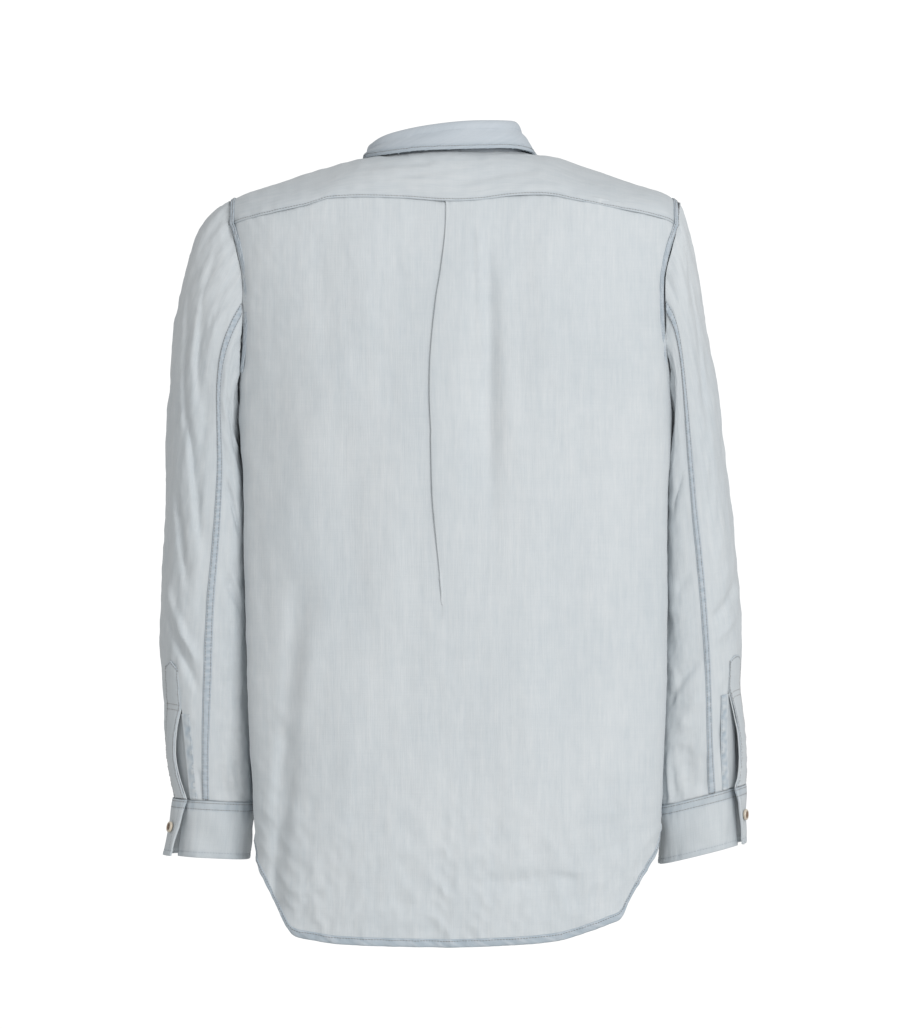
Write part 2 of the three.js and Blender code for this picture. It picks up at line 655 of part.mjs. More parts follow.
// A wall over a grid. Columns run anticlockwise seen from above and rows run up,
// so that its outer face is outside. The other way round needs the flip.
function gridWall(columns, rows, pointAt, options = {}) {
  const { thickness = CLOTH, flip = false, closed = false, slit = null } = options;
  const points = [];
  const depths = [];
  const index = new Map();
  const vertex = (i, j, edge) => {
    const column = closed ? i % columns : i;
    const split = slit && column === slit.column && j < slit.row ? edge : 0;
    const key = `${column}_${j}_${split}`;
    if (!index.has(key)) {
      index.set(key, points.length);
      points.push(pointAt(column, j, split));
      depths.push(typeof thickness === 'number' ? thickness : thickness(column, j));
    }
    return index.get(key);
  };
  const quads = [];
  for (let j = 0; j < rows; j += 1) {
    for (let i = 0; i < columns; i += 1) {
      const quad = [
        vertex(i, j, 1), vertex(i + 1, j, -1), vertex(i + 1, j + 1, -1), vertex(i, j + 1, 1),
      ];
      quads.push(flip ? quad.reverse() : quad);
    }
  }
  return wall(points, quads, depths);
}

function add(name, geometry, colour) {
  const material = new THREE.MeshStandardMaterial({
    color: COLOURS[colour],
    roughness: colour === 'button' ? 0.4 : 0.9,
    metalness: 0,
  });
  const mesh = new THREE.Mesh(geometry, material);
  mesh.name = name;
  shirt.add(mesh);
  return mesh;
}

// Columns bunch towards the centre in a section's own angle, and this spreads them evenly
function columnShare(even) {
  return Math.pow(even, 1.35);
}

// The back panel, with its pleat folded under at the centre

const BACK_COLUMNS = 15;
const BACK_ROWS = 21;

function backPanel() {
  const shares = [];
  for (let i = 0; i < BACK_COLUMNS; i += 1) {
    shares.push(columnShare(1 - i / BACK_COLUMNS));
  }
  const pleat = [
    { aside: 13, lap: 0, rise: 0 },
    { aside: 5, lap: -0.8, rise: 0 },
    { aside: 3, lap: -1.1, rise: 0.45 },
    { aside: 1.5, lap: 0, rise: 1 },
    { aside: 0, lap: 0.25, rise: 1.6 },
    { aside: -3, lap: 0, rise: 2 },
    { aside: -14, lap: 0, rise: 1.7 },
    { aside: -28, lap: 0, rise: 1.3 },
  ];
  const left = shares.slice(0, -2);
  const right = shares.slice(0, -3).reverse();
  const columns = left.length + pleat.length + right.length - 1;
  const pointAt = (i, j) => {
    const up = rowHeight(j, BACK_ROWS, BACK_LENGTH);
    if (i < left.length) return panelPoint('back', 'left', left[i], up);
    const place = i - left.length;
    if (place >= pleat.length) {
      return panelPoint('back', 'right', right[place - pleat.length], up);
    }
    const row = pleat[place];
    const guess = panelPoint('back', 'left', 0, up);
    const shift = pleatAt(guess.z);
    const x = shift.edge + row.aside + row.lap * shift.lap;
    const side = x > 0 ? 'left' : 'right';
    const share = shareAt(side, Math.abs(x), guess.z);
    const point = panelPoint('back', side, share, up);
    point.y += row.rise * shift.rise;
    return point;
  };
  const thickness = (i, j) => (j <= 1 ? HEM_THICKNESS : CLOTH);
  return gridWall(columns, BACK_ROWS, pointAt, { thickness });
}

// The share of the way to the edge at which the back lies a given distance from the centre
function shareAt(side, distance, z) {
  const across = distance / halfWidth(side, z);
  const angle = Math.asin(Math.pow(Math.min(1, across), BACK_SQUARENESS / 2));
  return (angle * 180) / Math.PI / edgeAngle('back', z);
}

// The two fronts, from the side seam and armhole to the centre

const FRONT_COLUMNS = 12;
const FRONT_ROWS = 16;

// Rows of a panel up from its hem, the first of them just above the turned-up edge
function rowHeight(row, rows, length) {
  const hem = HEM_WIDTH / length;
  return row === 0 ? 0 : mix(hem, 1, (row - 1) / (rows - 1));
}

function frontRow(row) {
  return rowHeight(row, FRONT_ROWS, FRONT_LENGTH);
}

function frontShares() {
  const shares = [0, 0.05, 0.1, 0.155, NECK_CORNER];
  const rest = FRONT_COLUMNS + 1 - shares.length;
  for (let i = 1; i <= rest; i += 1) shares.push(mix(NECK_CORNER, 1, i / rest));
  return shares.reverse();
}

function frontPanel(side) {
  const shares = frontShares();
  const pointAt = (i, j) => {
    const point = panelPoint('front', side, shares[i], frontRow(j));
    if (shares[i] === 0) point.x = sideSign(side) * SEAM_GAP;
    point.y -= shares[i] === 1 && point.z < UNDERARM_Z ? SEAM_GAP : 0;
    return point;
  };
  const thickness = (i, j) => (j <= 1 ? HEM_THICKNESS : CLOTH);
  return gridWall(shares.length - 1, FRONT_ROWS, pointAt, { thickness, flip: side === 'left' });
}

// The yoke, one piece over both shoulders, with its hole for the neck

const YOKE_STEPS = 6;
const YOKE_HALF = [0, 0.1, 0.2, 0.31, 0.42, 0.55, 0.63, 0.7, 0.78, 0.85, 0.9, 0.95];

function yoke() {
  const places = [];
  for (const column of YOKE_HALF) places.push({ side: 'left', column });
  places.push({ side: 'left', column: 1 });
  for (const column of [...YOKE_HALF].reverse()) places.push({ side: 'right', column });
  const pointAt = (i, j) => yokePoint(places[i].side, places[i].column, j / YOKE_STEPS);
  return gridWall(places.length - 1, YOKE_STEPS, pointAt);
}

// The collar: a stand round the neckline, and a leaf turned down over it

const COLLAR_STEPS = 30;
const STAND_OVERLAP = 9;
const STAND_LIFT = 0.45;
const FALL_FRONT_GAP = 8;

function collarSection(angle, out, up) {
  const point = neckPoint(angle);
  const along = neckPoint(angle + 2).sub(neckPoint(angle - 2));
  const outward = new THREE.Vector3(along.y, -along.x, 0).normalize();
  point.addScaledVector(outward, out);
  point.z += up;
  return point;
}

function collarStand() {
  const from = -90 - STAND_OVERLAP;
  const to = 270 + STAND_OVERLAP;
  const pointAt = (i, j) => {
    const angle = mix(from, to, i / COLLAR_STEPS);
    const height = read(COLLAR, 'angle', 'stand', angle);
    const under = -3 * smooth(to - 40, to - 20, angle);
    const fromBack = Math.abs(angle - 90);
    const base = STAND_LIFT + 0.9 * smooth(80, 120, fromBack) + 3.6 * bell(fromBack - 124, 30);
    return collarSection(angle, mix(-1.3, -4, j / 2) + under, mix(base, height, j / 2));
  };
  return gridWall(COLLAR_STEPS, 2, pointAt, { thickness: DOUBLE_CLOTH });
}

function collarFall() {
  const from = -90 + FALL_FRONT_GAP;
  const to = 270 - FALL_FRONT_GAP;
  const pointAt = (i, j) => {
    const angle = mix(from, to, i / COLLAR_STEPS);
    const stand = read(COLLAR, 'angle', 'stand', angle);
    const crest = [
      collarSection(angle, 4.6, stand - 3),
      collarSection(angle, 2, stand + 4),
      collarSection(angle, -2.4, stand + 5.4),
      collarSection(angle, -6.6, stand + 4.6),
    ];
    if (j >= 2) return crest[j - 2];
    const edge = new THREE.Vector3(
      read(COLLAR, 'angle', 'x', angle),
      read(COLLAR, 'angle', 'y', angle),
      read(COLLAR, 'angle', 'z', angle),
    );
    return edge.lerp(crest[0], j * 0.5);
  };
  return gridWall(COLLAR_STEPS, 5, pointAt, { thickness: DOUBLE_CLOTH });
}

// The sleeves: an upper part over the outside of the arm and an under part inside it

const SLEEVE_ROWS = 22;
const UPPER_COLUMNS = 16;
const UPPER_SLIT_COLUMN = 3;
const UNDER_COLUMNS = 6;

// Rows from the cuff up, one of them exactly at the top of the opening
function sleeveRings(side) {
  const opening = OPENINGS[side];
  const rings = [];
  const below = 6;
  for (let j = 0; j <= below; j += 1) rings.push(mix(LAST_RING, opening.top, j / below));
  const above = SLEEVE_ROWS - below;
  for (let j = 1; j <= above; j += 1) rings.push(mix(opening.top, 0, j / above));
  return rings;
}

function seamAngle(side, ring) {
  return read(SLEEVE_SEAMS[side], 'ring', 'angle', ring);
}

function seamGapAngle(side, ring) {
  return (SLEEVE_SEAM_GAP / read(SLEEVES[side], 'ring', 'depth', ring)) * (180 / Math.PI);
}

function upperSleeve(side) {
  const opening = OPENINGS[side];
  const rings = sleeveRings(side);
  const pointAt = (i, j, edge) => {
    const ring = rings[j];
    const seam = seamAngle(side, ring) - seamGapAngle(side, ring);
    const far = UNDERARM_ANGLE - 360 + seamGapAngle(side, ring);
    const slit = opening.angle;
    const angle = i <= UPPER_SLIT_COLUMN
      ? mix(seam, slit, i / UPPER_SLIT_COLUMN)
      : mix(slit, far, (i - UPPER_SLIT_COLUMN) / (UPPER_COLUMNS - UPPER_SLIT_COLUMN));
    const half = i < UPPER_SLIT_COLUMN || (i === UPPER_SLIT_COLUMN && edge !== 1) ? -1 : 1;
    const spread = i === UPPER_SLIT_COLUMN && edge !== 0 ? 1.2 * edge : 0;
    return openSleevePoint(side, ring, angle - spread, half);
  };
  const slit = { column: UPPER_SLIT_COLUMN, row: 6 };
  return gridWall(UPPER_COLUMNS, SLEEVE_ROWS, pointAt, { flip: side === 'left', slit });
}

function underSleeve(side) {
  const rings = sleeveRings(side);
  const pointAt = (i, j) => {
    const ring = rings[j];
    const gap = seamGapAngle(side, ring);
    const angle = mix(seamAngle(side, ring) + gap, UNDERARM_ANGLE - gap, i / UNDER_COLUMNS);
    return sleevePoint(side, ring, angle);
  };
  return gridWall(UNDER_COLUMNS, SLEEVE_ROWS, pointAt, { flip: side === 'right' });
}

// A cuff hangs on below its sleeve. Its under end slips beneath and its over end laps on top.

const CUFFS = {
  left: { dropX: 6, dropZ: -57, flare: 9, under: 20 },
  right: { dropX: 6, dropZ: -56, flare: 5, under: 20 },
};
const CUFF_COLUMNS = 24;
const CUFF_BUTTON_SHARE = 0.955;
const CUFF_BUTTON_DOWN = 0.5;

function cuffPoint(side, angle, down, lift) {
  const cuff = CUFFS[side];
  const edge = sleevePoint(side, LAST_RING, angle);
  const across = sleevePoint(side, LAST_RING, angle + 180);
  const outward = edge.clone().sub(across).normalize();
  edge.addScaledVector(outward, lift);
  edge.z -= SEAM_GAP;
  edge.x += sideSign(side) * cuff.dropX * down;
  edge.z += cuff.dropZ * down;
  return edge;
}

// The angle runs on past a full turn where the over end laps the under end
function lapAngle(side, share) {
  const opening = OPENINGS[side];
  const from = opening.angle - CUFFS[side].under;
  return mix(from, opening.angle - opening.bottomShift + 360, share);
}

function cuffSurface(side, share, down) {
  const under = -4.2 * (1 - smooth(0, 0.12, share));
  const over = (OPENINGS[side].lift + CUFFS[side].flare * down) * smooth(0.8, 1, share);
  return cuffPoint(side, lapAngle(side, share), down, 1 + under + over);
}

function cuff(side) {
  const pointAt = (i, j) => cuffSurface(side, i / CUFF_COLUMNS, 1 - j / 3);
  const flip = side === 'right';
  return gridWall(CUFF_COLUMNS, 3, pointAt, { thickness: DOUBLE_CLOTH, flip });
}

// The tower lies over the outer edge of the opening and ends in a point above it
function tower(side) {
  const opening = OPENINGS[side];
  const steps = 12;
  const columns = 4;
  const pointAt = (i, j) => {
    const across = i / columns;
    const peak = 1 - Math.abs(2 * across - 1);
    const top = TOWER_TOP_RING - (peak - 1) * (TOWER_TOP_POINT / RING_LENGTH);
    const ring = mix(LAST_RING - 0.02, top, j / steps);
    const angle = opening.angle - 1.2 - TOWER_ANGLE * across;
    const point = openSleevePoint(side, ring, angle, 1);
    const centre = openSleevePoint(side, ring, angle + 180, -1);
    const outward = point.clone().sub(centre).normalize();
    return point.addScaledVector(outward, TOWER_GAP + STRIP_THICKNESS);
  };
  return gridWall(columns, steps, pointAt, { thickness: STRIP_THICKNESS, flip: side === 'left' });
}

// The binding covers the other edge of the opening
function binding(side) {
  const opening = OPENINGS[side];
  const pointAt = (i, j) => {
    const ring = mix(LAST_RING - 0.02, opening.top + 0.12, j / 8);
    const angle = opening.angle + 1.6 + BINDING_ANGLE * (1 - i / 2);
    const point = sleevePoint(side, ring, angle);
    const outward = point.clone().sub(sleevePoint(side, ring, angle + 180)).normalize();
    return point.addScaledVector(outward, STRIP_GAP + STRIP_THICKNESS);
  };
  return gridWall(2, 8, pointAt, { thickness: STRIP_THICKNESS, flip: side === 'left' });
}

// Lifts a point off a surface along its normal, away from a point inside the garment
function lifted(surface, u, v, distance, inside) {
  const point = surface(u, v);
  const step = 0.5;
  const across = surface(u + step, v).sub(surface(u - step, v));
  const along = surface(u, v + step).sub(surface(u, v - step));
  const normal = across.cross(along).normalize();
  if (normal.dot(point.clone().sub(inside)) < 0) normal.negate();
  return { point: point.addScaledVector(normal, distance), normal };
}

function bodyMiddle(z) {
  return new THREE.Vector3(0, SEAM_Y, z);
}

// Felled seam round the armhole, over the shoulder and down behind and before the arm
const ARMHOLE_STRIP_REACH = 122;
const STRIP_CORNER_LIFT = 2;

function armholeInset(side, angle, inset) {
  const turn = Math.abs(angle);
  const face = angle < 0 ? 'front' : 'back';
  if (turn >= YOKE_LOOP_ANGLE) {
    const z = read(LOOP_HEIGHTS, 'angle', 'z', turn);
    return bodyPoint(face, side, 1 - inset / ARMHOLE_SPAN, z);
  }
  const forward = (YOKE_LOOP_ANGLE - angle) / (2 * YOKE_LOOP_ANGLE);
  return yokePoint(side, Math.max(0, inset) / YOKE_SPAN, forward);
}

function armholeStrip(side) {
  const steps = 30;
  const surface = (inset, angle) => armholeInset(side, angle, inset);
  const pointAt = (i, j) => {
    const angle = mix(-ARMHOLE_STRIP_REACH, ARMHOLE_STRIP_REACH, j / steps);
    const inset = 1 + ARMHOLE_STRIP_WIDTH * i;
    const inside = bodyMiddle(armholePoint(side, angle).z - 60);
    const corner = STRIP_CORNER_LIFT * bell(Math.abs(angle) - YOKE_LOOP_ANGLE - 3, 9);
    return lifted(surface, inset, angle, STRIP_GAP + STRIP_THICKNESS + corner, inside).point;
  };
  return gridWall(1, steps, pointAt, { thickness: STRIP_THICKNESS, flip: side === 'left' });
}

function sideStrip(side) {
  const steps = 12;
  const surface = (inset, z) => bodyPoint('back', side, 1 - inset / SIDE_SPAN, z);
  const pointAt = (i, j) => {
    const { z } = panelPoint('back', side, 1, rowHeight(j + 1, BACK_ROWS, BACK_LENGTH));
    const inset = 1 + SIDE_STRIP_WIDTH * (1 - i / 2);
    return lifted(surface, inset, z, SIDE_STRIP_GAP + STRIP_THICKNESS, bodyMiddle(z)).point;
  };
  return gridWall(2, steps, pointAt, { thickness: STRIP_THICKNESS, flip: side === 'left' });
}

function sleeveStrip(side) {
  const steps = 26;
  const pointAt = (i, j) => {
    const ring = mix(LAST_RING - 0.03, 0.35, j / steps);
    const halfAngle = (SLEEVE_STRIP_WIDTH / 2 / read(SLEEVES[side], 'ring', 'depth', ring));
    const angle = seamAngle(side, ring) + (i - 0.5) * 2 * halfAngle * (180 / Math.PI) * -1;
    const surface = (turn, place) => sleevePoint(side, place / RING_LENGTH, turn);
    const inside = sleevePoint(side, ring, angle + 180);
    return lifted(surface, angle, ring * RING_LENGTH, STRIP_GAP + STRIP_THICKNESS, inside).point;
  };
  return gridWall(1, steps, pointAt, { thickness: STRIP_THICKNESS, flip: side === 'left' });
}

// The button band over the meeting edges of the fronts, and the band under them

function frontShare(side, distance, z) {
  const across = distance / halfWidth(side, z);
  const angle = Math.asin(Math.pow(across, FRONT_SQUARENESS / 2));
  return (angle * 180) / Math.PI / edgeAngle('front', z);
}

function frontSurface(x, z) {
  const side = x >= 0 ? 'left' : 'right';
  return bodyPoint('front', side, frontShare(side, Math.abs(x), z), z);
}

function frontBand(distance, thickness) {
  const columns = 4;
  const firstRow = distance < 0 ? 2 : 0;
  const pointAt = (i, j) => {
    const x = mix(-FRONT_BAND_WIDTH / 2, FRONT_BAND_WIDTH / 2, i / columns);
    const z = mix(HEM_FRONT[0].z, FRONT_TOP[0].z, frontRow(j + firstRow));
    return lifted(frontSurface, x, z, distance, bodyMiddle(z)).point;
  };
  return gridWall(columns, FRONT_ROWS - firstRow, pointAt, { thickness });
}

// A sewn-on button: a dished disc with a rim
function button(centre, normal, radius) {
  const t = BUTTON_THICKNESS;
  const profile = [
    new THREE.Vector2(0, 0),
    new THREE.Vector2(radius * 0.8, 0),
    new THREE.Vector2(radius, t * 0.45),
    new THREE.Vector2(radius * 0.92, t),
    new THREE.Vector2(radius * 0.66, t * 0.86),
    new THREE.Vector2(radius * 0.58, t * 0.62),
    new THREE.Vector2(0, t * 0.62),
  ];
  const geometry = new THREE.LatheGeometry(profile, 16);
  const turn = new THREE.Quaternion();
  turn.setFromUnitVectors(new THREE.Vector3(0, 1, 0), normal);
  geometry.applyQuaternion(turn);
  geometry.translate(centre.x, centre.y, centre.z);
  return geometry;
}

function frontButton(number) {
  const z = FRONT_BUTTON_FIRST_Z - FRONT_BUTTON_PITCH * number;
  const distance = 2 * SEAM_GAP + DOUBLE_CLOTH;
  const { point, normal } = lifted(frontSurface, 0.6, z, distance, bodyMiddle(z));
  return button(point, normal, BUTTON_RADIUS);
}

function cuffButton(side) {
  const surface = (share, down) => cuffSurface(side, share / 100, down / 100);
  const inside = cuffPoint(side, lapAngle(side, CUFF_BUTTON_SHARE) + 180, 0.5, 0);
  const place = [100 * CUFF_BUTTON_SHARE, 100 * CUFF_BUTTON_DOWN];
  const { point, normal } = lifted(surface, place[0], place[1], SEAM_GAP, inside);
  return button(point, normal, BUTTON_RADIUS);
}

add('back', backPanel(), 'cloth');
add('yoke', yoke(), 'cloth');
add('front_left', frontPanel('left'), 'cloth');
add('front_right', frontPanel('right'), 'cloth');
add('front_band_over', frontBand(SEAM_GAP + DOUBLE_CLOTH, DOUBLE_CLOTH), 'cloth');
add('front_band_under', frontBand(-CLOTH - SEAM_GAP, DOUBLE_CLOTH), 'cloth');
add('collar_stand', collarStand(), 'trim');
add('collar_fall', collarFall(), 'trim');
for (const side of ['left', 'right']) {
  add(`sleeve_upper_${side}`, upperSleeve(side), 'cloth');
  add(`sleeve_under_${side}`, underSleeve(side), 'cloth');
  add(`cuff_${side}`, cuff(side), 'trim');
  add(`placket_tower_${side}`, tower(side), 'trim');
  add(`placket_binding_${side}`, binding(side), 'trim');
  add(`armhole_seam_${side}`, armholeStrip(side), 'trim');
  add(`sleeve_seam_${side}`, sleeveStrip(side), 'trim');
  add(`side_seam_${side}`, sideStrip(side), 'trim');
  add(`cuff_button_${side}`, cuffButton(side), 'button');
}
for (let number = 0; number < FRONT_BUTTON_COUNT; number += 1) {
  add(`front_button_${number + 1}`, frontButton(number), 'button');
}

export default shirt;
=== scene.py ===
# %% [markdown]
# # A light denim shirt, seen from behind
# The shirt is filled out as if it were worn, with no wearer in it. Its pieces are cut and sewn as
# a maker would: a back with a centre pleat, a yoke, two fronts with a button band, a collar on
# its stand, and two sleeves with a felled seam, a slit, plackets and a cuff.
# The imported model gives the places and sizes, so it is loaded first and nothing in it is moved.

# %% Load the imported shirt
import math

import bpy
import numpy as np
from mathutils import Matrix, Vector


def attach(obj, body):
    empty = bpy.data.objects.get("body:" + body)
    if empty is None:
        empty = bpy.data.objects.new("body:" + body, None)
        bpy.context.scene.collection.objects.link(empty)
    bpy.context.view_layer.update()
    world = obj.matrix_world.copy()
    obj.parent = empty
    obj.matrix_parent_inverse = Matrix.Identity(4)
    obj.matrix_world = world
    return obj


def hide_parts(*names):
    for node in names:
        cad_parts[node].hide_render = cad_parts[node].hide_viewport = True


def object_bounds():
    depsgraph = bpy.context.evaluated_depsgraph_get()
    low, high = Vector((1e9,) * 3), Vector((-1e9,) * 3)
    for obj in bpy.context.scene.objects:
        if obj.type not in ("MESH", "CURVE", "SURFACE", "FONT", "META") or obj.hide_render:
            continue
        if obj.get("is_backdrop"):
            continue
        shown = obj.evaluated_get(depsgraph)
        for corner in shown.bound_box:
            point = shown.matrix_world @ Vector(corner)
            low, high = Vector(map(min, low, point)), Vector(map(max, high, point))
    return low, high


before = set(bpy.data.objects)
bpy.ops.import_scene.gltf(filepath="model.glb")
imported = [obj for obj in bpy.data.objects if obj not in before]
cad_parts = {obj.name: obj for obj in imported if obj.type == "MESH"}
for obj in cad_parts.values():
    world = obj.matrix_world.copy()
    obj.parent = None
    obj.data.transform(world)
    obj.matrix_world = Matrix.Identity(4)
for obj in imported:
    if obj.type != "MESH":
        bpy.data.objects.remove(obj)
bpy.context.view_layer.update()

# %% [markdown]
# Every size below is in millimetres, as on a pattern. Blender works in metres, so a mesh is scaled
# by MM once, when it is made. Small helpers come first: blends, soft bumps, and a table whose
# columns are read along a smooth curve, so that a few rows describe a whole surface.

# %% Numbers and tables
MM = 0.001


def mix(a, b, t):
    return a + (b - a) * t


def smooth(start, end, value):
    t = np.clip((value - start) / (end - start), 0, 1)
    return t * t * (3 - 2 * t)


def bell(distance, width):
    return np.exp(-(distance * distance) / (width * width))


def unit(vectors):
    return vectors / np.maximum(np.linalg.norm(vectors, axis=-1, keepdims=True), 1e-9)


def table(columns, *rows):
    return {name: np.array(values, float) for name, values in zip(columns.split(), zip(*rows))}


def read(rows, key, column, value):
    keys, values = rows[key], rows[column]
    value = np.clip(np.asarray(value, float), keys[0], keys[-1])
    i = np.clip(np.searchsorted(keys, value) - 1, 0, len(keys) - 2)
    slopes = np.empty(len(keys))
    slopes[[0, -1]] = (np.diff(values) / np.diff(keys))[[0, -1]]
    slopes[1:-1] = (values[2:] - values[:-2]) / (keys[2:] - keys[:-2])
    span = keys[i + 1] - keys[i]
    t = (value - keys[i]) / span
    start = values[i] * (2 * t**3 - 3 * t**2 + 1) + slopes[i] * span * (t**3 - 2 * t**2 + t)
    return start + values[i + 1] * (3 * t**2 - 2 * t**3) + slopes[i + 1] * span * (t**3 - t**2)


def point_at(x, y, z):
    return np.stack(np.broadcast_arrays(x, y, z), axis=-1).astype(float)


# %% [markdown]
# Cloth is never quite even. This makes smooth unevenness between about -1 and 1 from a few long
# waves in seeded directions, so it is the same on each run. Where a wave crosses zero, crumpled
# makes a thin ridge, like those left in washed cloth.

# %% Soft unevenness
def wander(x, y, seed, waves=7):
    random = np.random.default_rng(seed)
    total = 0
    for _ in range(waves):
        turn = random.uniform(0, 2 * math.pi)
        pace = 2 * math.pi * random.uniform(0.6, 1.5)
        total = total + np.sin(pace * (x * math.cos(turn) + y * math.sin(turn)) + random.uniform(0, 9))
    return total / math.sqrt(waves / 2) / 1.6


def crumpled(x, y, seed):
    wave = wander(x, y, seed, 5)
    return 0.5 - np.sqrt(wave * wave + 0.004)


# %% [markdown]
# A crease is a soft ridge or trough along a short line. Each row of a crease table is one of them,
# placed where the photo shows it: its two ends, how wide and how deep it is. Its ends fade,
# and a lean makes one flank steeper, as in hanging cloth.

# %% Creases
def crease_height(x, z, x0, z0, x1, z1, width, depth, lean=0.0):
    dx, dz = x1 - x0, z1 - z0
    length = math.hypot(dx, dz)
    along = ((x - x0) * dx + (z - z0) * dz) / length**2
    aside = ((x - x0) * dz - (z - z0) * dx) / length
    past = (along - np.clip(along, 0, 1)) * length
    reach = width * (1 + lean * np.tanh(aside / width))
    ends = smooth(-0.12, 0.2, along) * (1 - smooth(0.8, 1.12, along))
    return depth * ends * bell(np.hypot(aside, past), reach)


def creases(x, z, rows):
    total = 0 * x
    for row in zip(*rows.values()):
        total = total + crease_height(x, z, *row)
    return total


# %% [markdown]
# The body is a rounded rectangle at each height, worked out from its half widths at the side seams
# and its depth at the centre back and centre front. The share runs from 0 at the centre to 1 at the
# side seam or the armhole, and is negative on the wearer's right.

# %% Sizes of the body
BACK_SQUARENESS = 2.8
FRONT_SQUARENESS = 2.5
SLEEVE_SQUARENESS = 2.25
SEAM_Y = -8
UNDERARM_Z = -286
PANEL_SPAN = 200
ARMHOLE_SPAN = 170
SIDE_SPAN = 190
YOKE_SPAN = 215
RING_LENGTH = 45

SECTIONS = table(
    "z left right back front push roll",
    (-800, 196, 211, 102, -128, 0, 3),
    (-700, 197, 213, 106, -132, 4, 7),
    (-600, 201, 216, 110, -136, 9, 11),
    (-500, 203, 217, 113, -138, 9, 12),
    (-400, 205, 218, 115, -139, 9, 12),
    (-330, 206, 218, 118, -138, 8, 12),
    (-286, 209, 219, 120, -136, 3, 11),
    (-200, 220, 229, 122, -128, 0, 5),
    (-165, 224, 233, 122, -119, 0, 3),
    (-120, 228, 236, 118, -102, 0, 1),
    (-75, 231, 240, 107, -84, 0, 0),
    (-50, 232, 241, 98, -68, 0, 0),
    (-30, 232, 241, 88, -54, 0, 0),
    (-10, 232, 241, 76, -38, 0, 0),
)
ARMHOLE_EDGES = table(
    "z back front",
    (-286, -8, -8), (-281, 10, -26), (-265, 31, -43), (-235, 50, -60), (-200, 62, -70),
    (-165, 67, -73), (-125, 66, -69), (-100, 61, -60), (-76, 51, -48), (-50, 38, -36), (-10, 30, -30),
)
HEM_BACK = {
    "left": table(
        "s z", (0, -791), (0.3, -788), (0.4, -785), (0.49, -782), (0.535, -777), (0.61, -753),
        (0.686, -730), (0.8, -706), (0.93, -682), (1, -664),
    ),
    "right": table(
        "s z", (0, -791), (0.22, -786), (0.31, -781), (0.37, -776), (0.46, -769), (0.525, -763),
        (0.56, -750), (0.62, -729), (0.735, -704), (0.85, -684), (1, -664),
    ),
}
HEM_FRONT = table("s z", (0, -768), (0.45, -764), (0.65, -742), (0.82, -698), (1, -664))
YOKE_SEAM = table(
    "x z", (-232, -78), (-215, -69), (-164, -58), (-120, -50), (-98, -46), (-60, -47), (-28, -51),
    (6, -52), (50, -49), (119, -49), (144, -56), (177, -63), (204, -69), (226, -76),
)
NECK_CORNER = 0.21
FRONT_TOP = table(
    "s z", (0, -77), (0.05, -73), (0.1, -60), (0.155, -38), (NECK_CORNER, -17), (0.3, -20),
    (0.45, -31), (0.6, -44), (0.8, -61), (1, -78),
)

# %% [markdown]
# The largest folds of the back lie where the photo shows them: a long hanging fold at the left from
# the waist to the hem, a soft drop beside the pleat, and a few short ones near the right corner.
# The second table holds the small creases that only show from close by.

# %% Folds of the body
BODY_FOLDS = table(
    "x0 z0 x1 z1 width depth lean",
    (149, -430, 160, -575, 13, -5, 0.2),
    (160, -575, 168, -660, 12, -9, 0.3),
    (168, -660, 173, -760, 11, -9, 0.3),
    (138, -470, 158, -650, 12, 4, 0),
    (158, -650, 158, -760, 11, 5, 0),
    (-38, -110, -42, -380, 10, -3, 0),
    (-168, -650, -166, -765, 10, -4, 0),
    (-29, -728, -129, -724, 9, -3, 0),
    (110, -250, 90, -520, 26, -3, 0),
    (-120, -300, -110, -640, 28, -3, 0),
)
BACK_CREASES = table(
    "x0 z0 x1 z1 width depth lean",
    (-28, -80, -31, -225, 3.6, 2.4, 0.4),
    (-37, -96, -39, -330, 7, -3.0, 0),
    (-36, -190, -22, -340, 9, -2.0, 0.2),
    (-52, -110, -60, -300, 12, 1.6, 0),
    (152, -600, 170, -690, 5, -2.2, 0.3),
    (147, -745, 129, -739, 4, -1.6, 0),
    (160, -700, 172, -745, 4, 1.4, 0),
    (-157, -625, -163, -660, 5, -1.5, 0.2),
    (-62, -731, -92, -719, 4, -1.5, 0.3),
    (-92, -719, -131, -724, 4, -1.3, -0.3),
    (-140, -700, -176, -688, 5, -1.2, 0),
    (60, -745, 20, -752, 6, -1.0, 0),
    (100, -720, 78, -700, 6, 1.0, 0),
    (-20, -690, -50, -676, 7, -0.9, 0),
    (128, -80, 118, -230, 16, -1.6, 0.2),
    (80, -70, 84, -190, 14, 1.2, 0),
    (-90, -66, -96, -210, 15, 1.3, 0),
    (-160, -80, -146, -240, 15, -1.5, -0.2),
    (30, -330, 44, -560, 16, -1.1, 0),
    (-80, -420, -74, -600, 14, 1.0, 0),
    (-190, -330, -176, -450, 9, -1.6, 0),
    (196, -330, 184, -470, 9, -1.4, 0),
    (92, -560, 110, -700, 12, 1.2, 0.2),
    (-110, -640, -104, -740, 9, 1.1, 0),
    (-40, -610, -46, -700, 9, -1.0, 0),
)


# %% The body's surface
def side_sign(side):
    return 1 if side == "left" else -1


def half_width(share, z):
    return np.where(share >= 0, read(SECTIONS, "z", "left", z), read(SECTIONS, "z", "right", z))


def squareness(face):
    return BACK_SQUARENESS if face == "back" else FRONT_SQUARENESS


def edge_angle(face, z):
    edge_y = read(ARMHOLE_EDGES, "z", face, z)
    centre_y = read(SECTIONS, "z", face, z)
    share = np.clip((edge_y - SEAM_Y) / (centre_y - SEAM_Y), 0, 1)
    angle = np.degrees(np.arccos(share ** (squareness(face) / 2)))
    return np.where(z <= UNDERARM_Z, 90.0, angle)


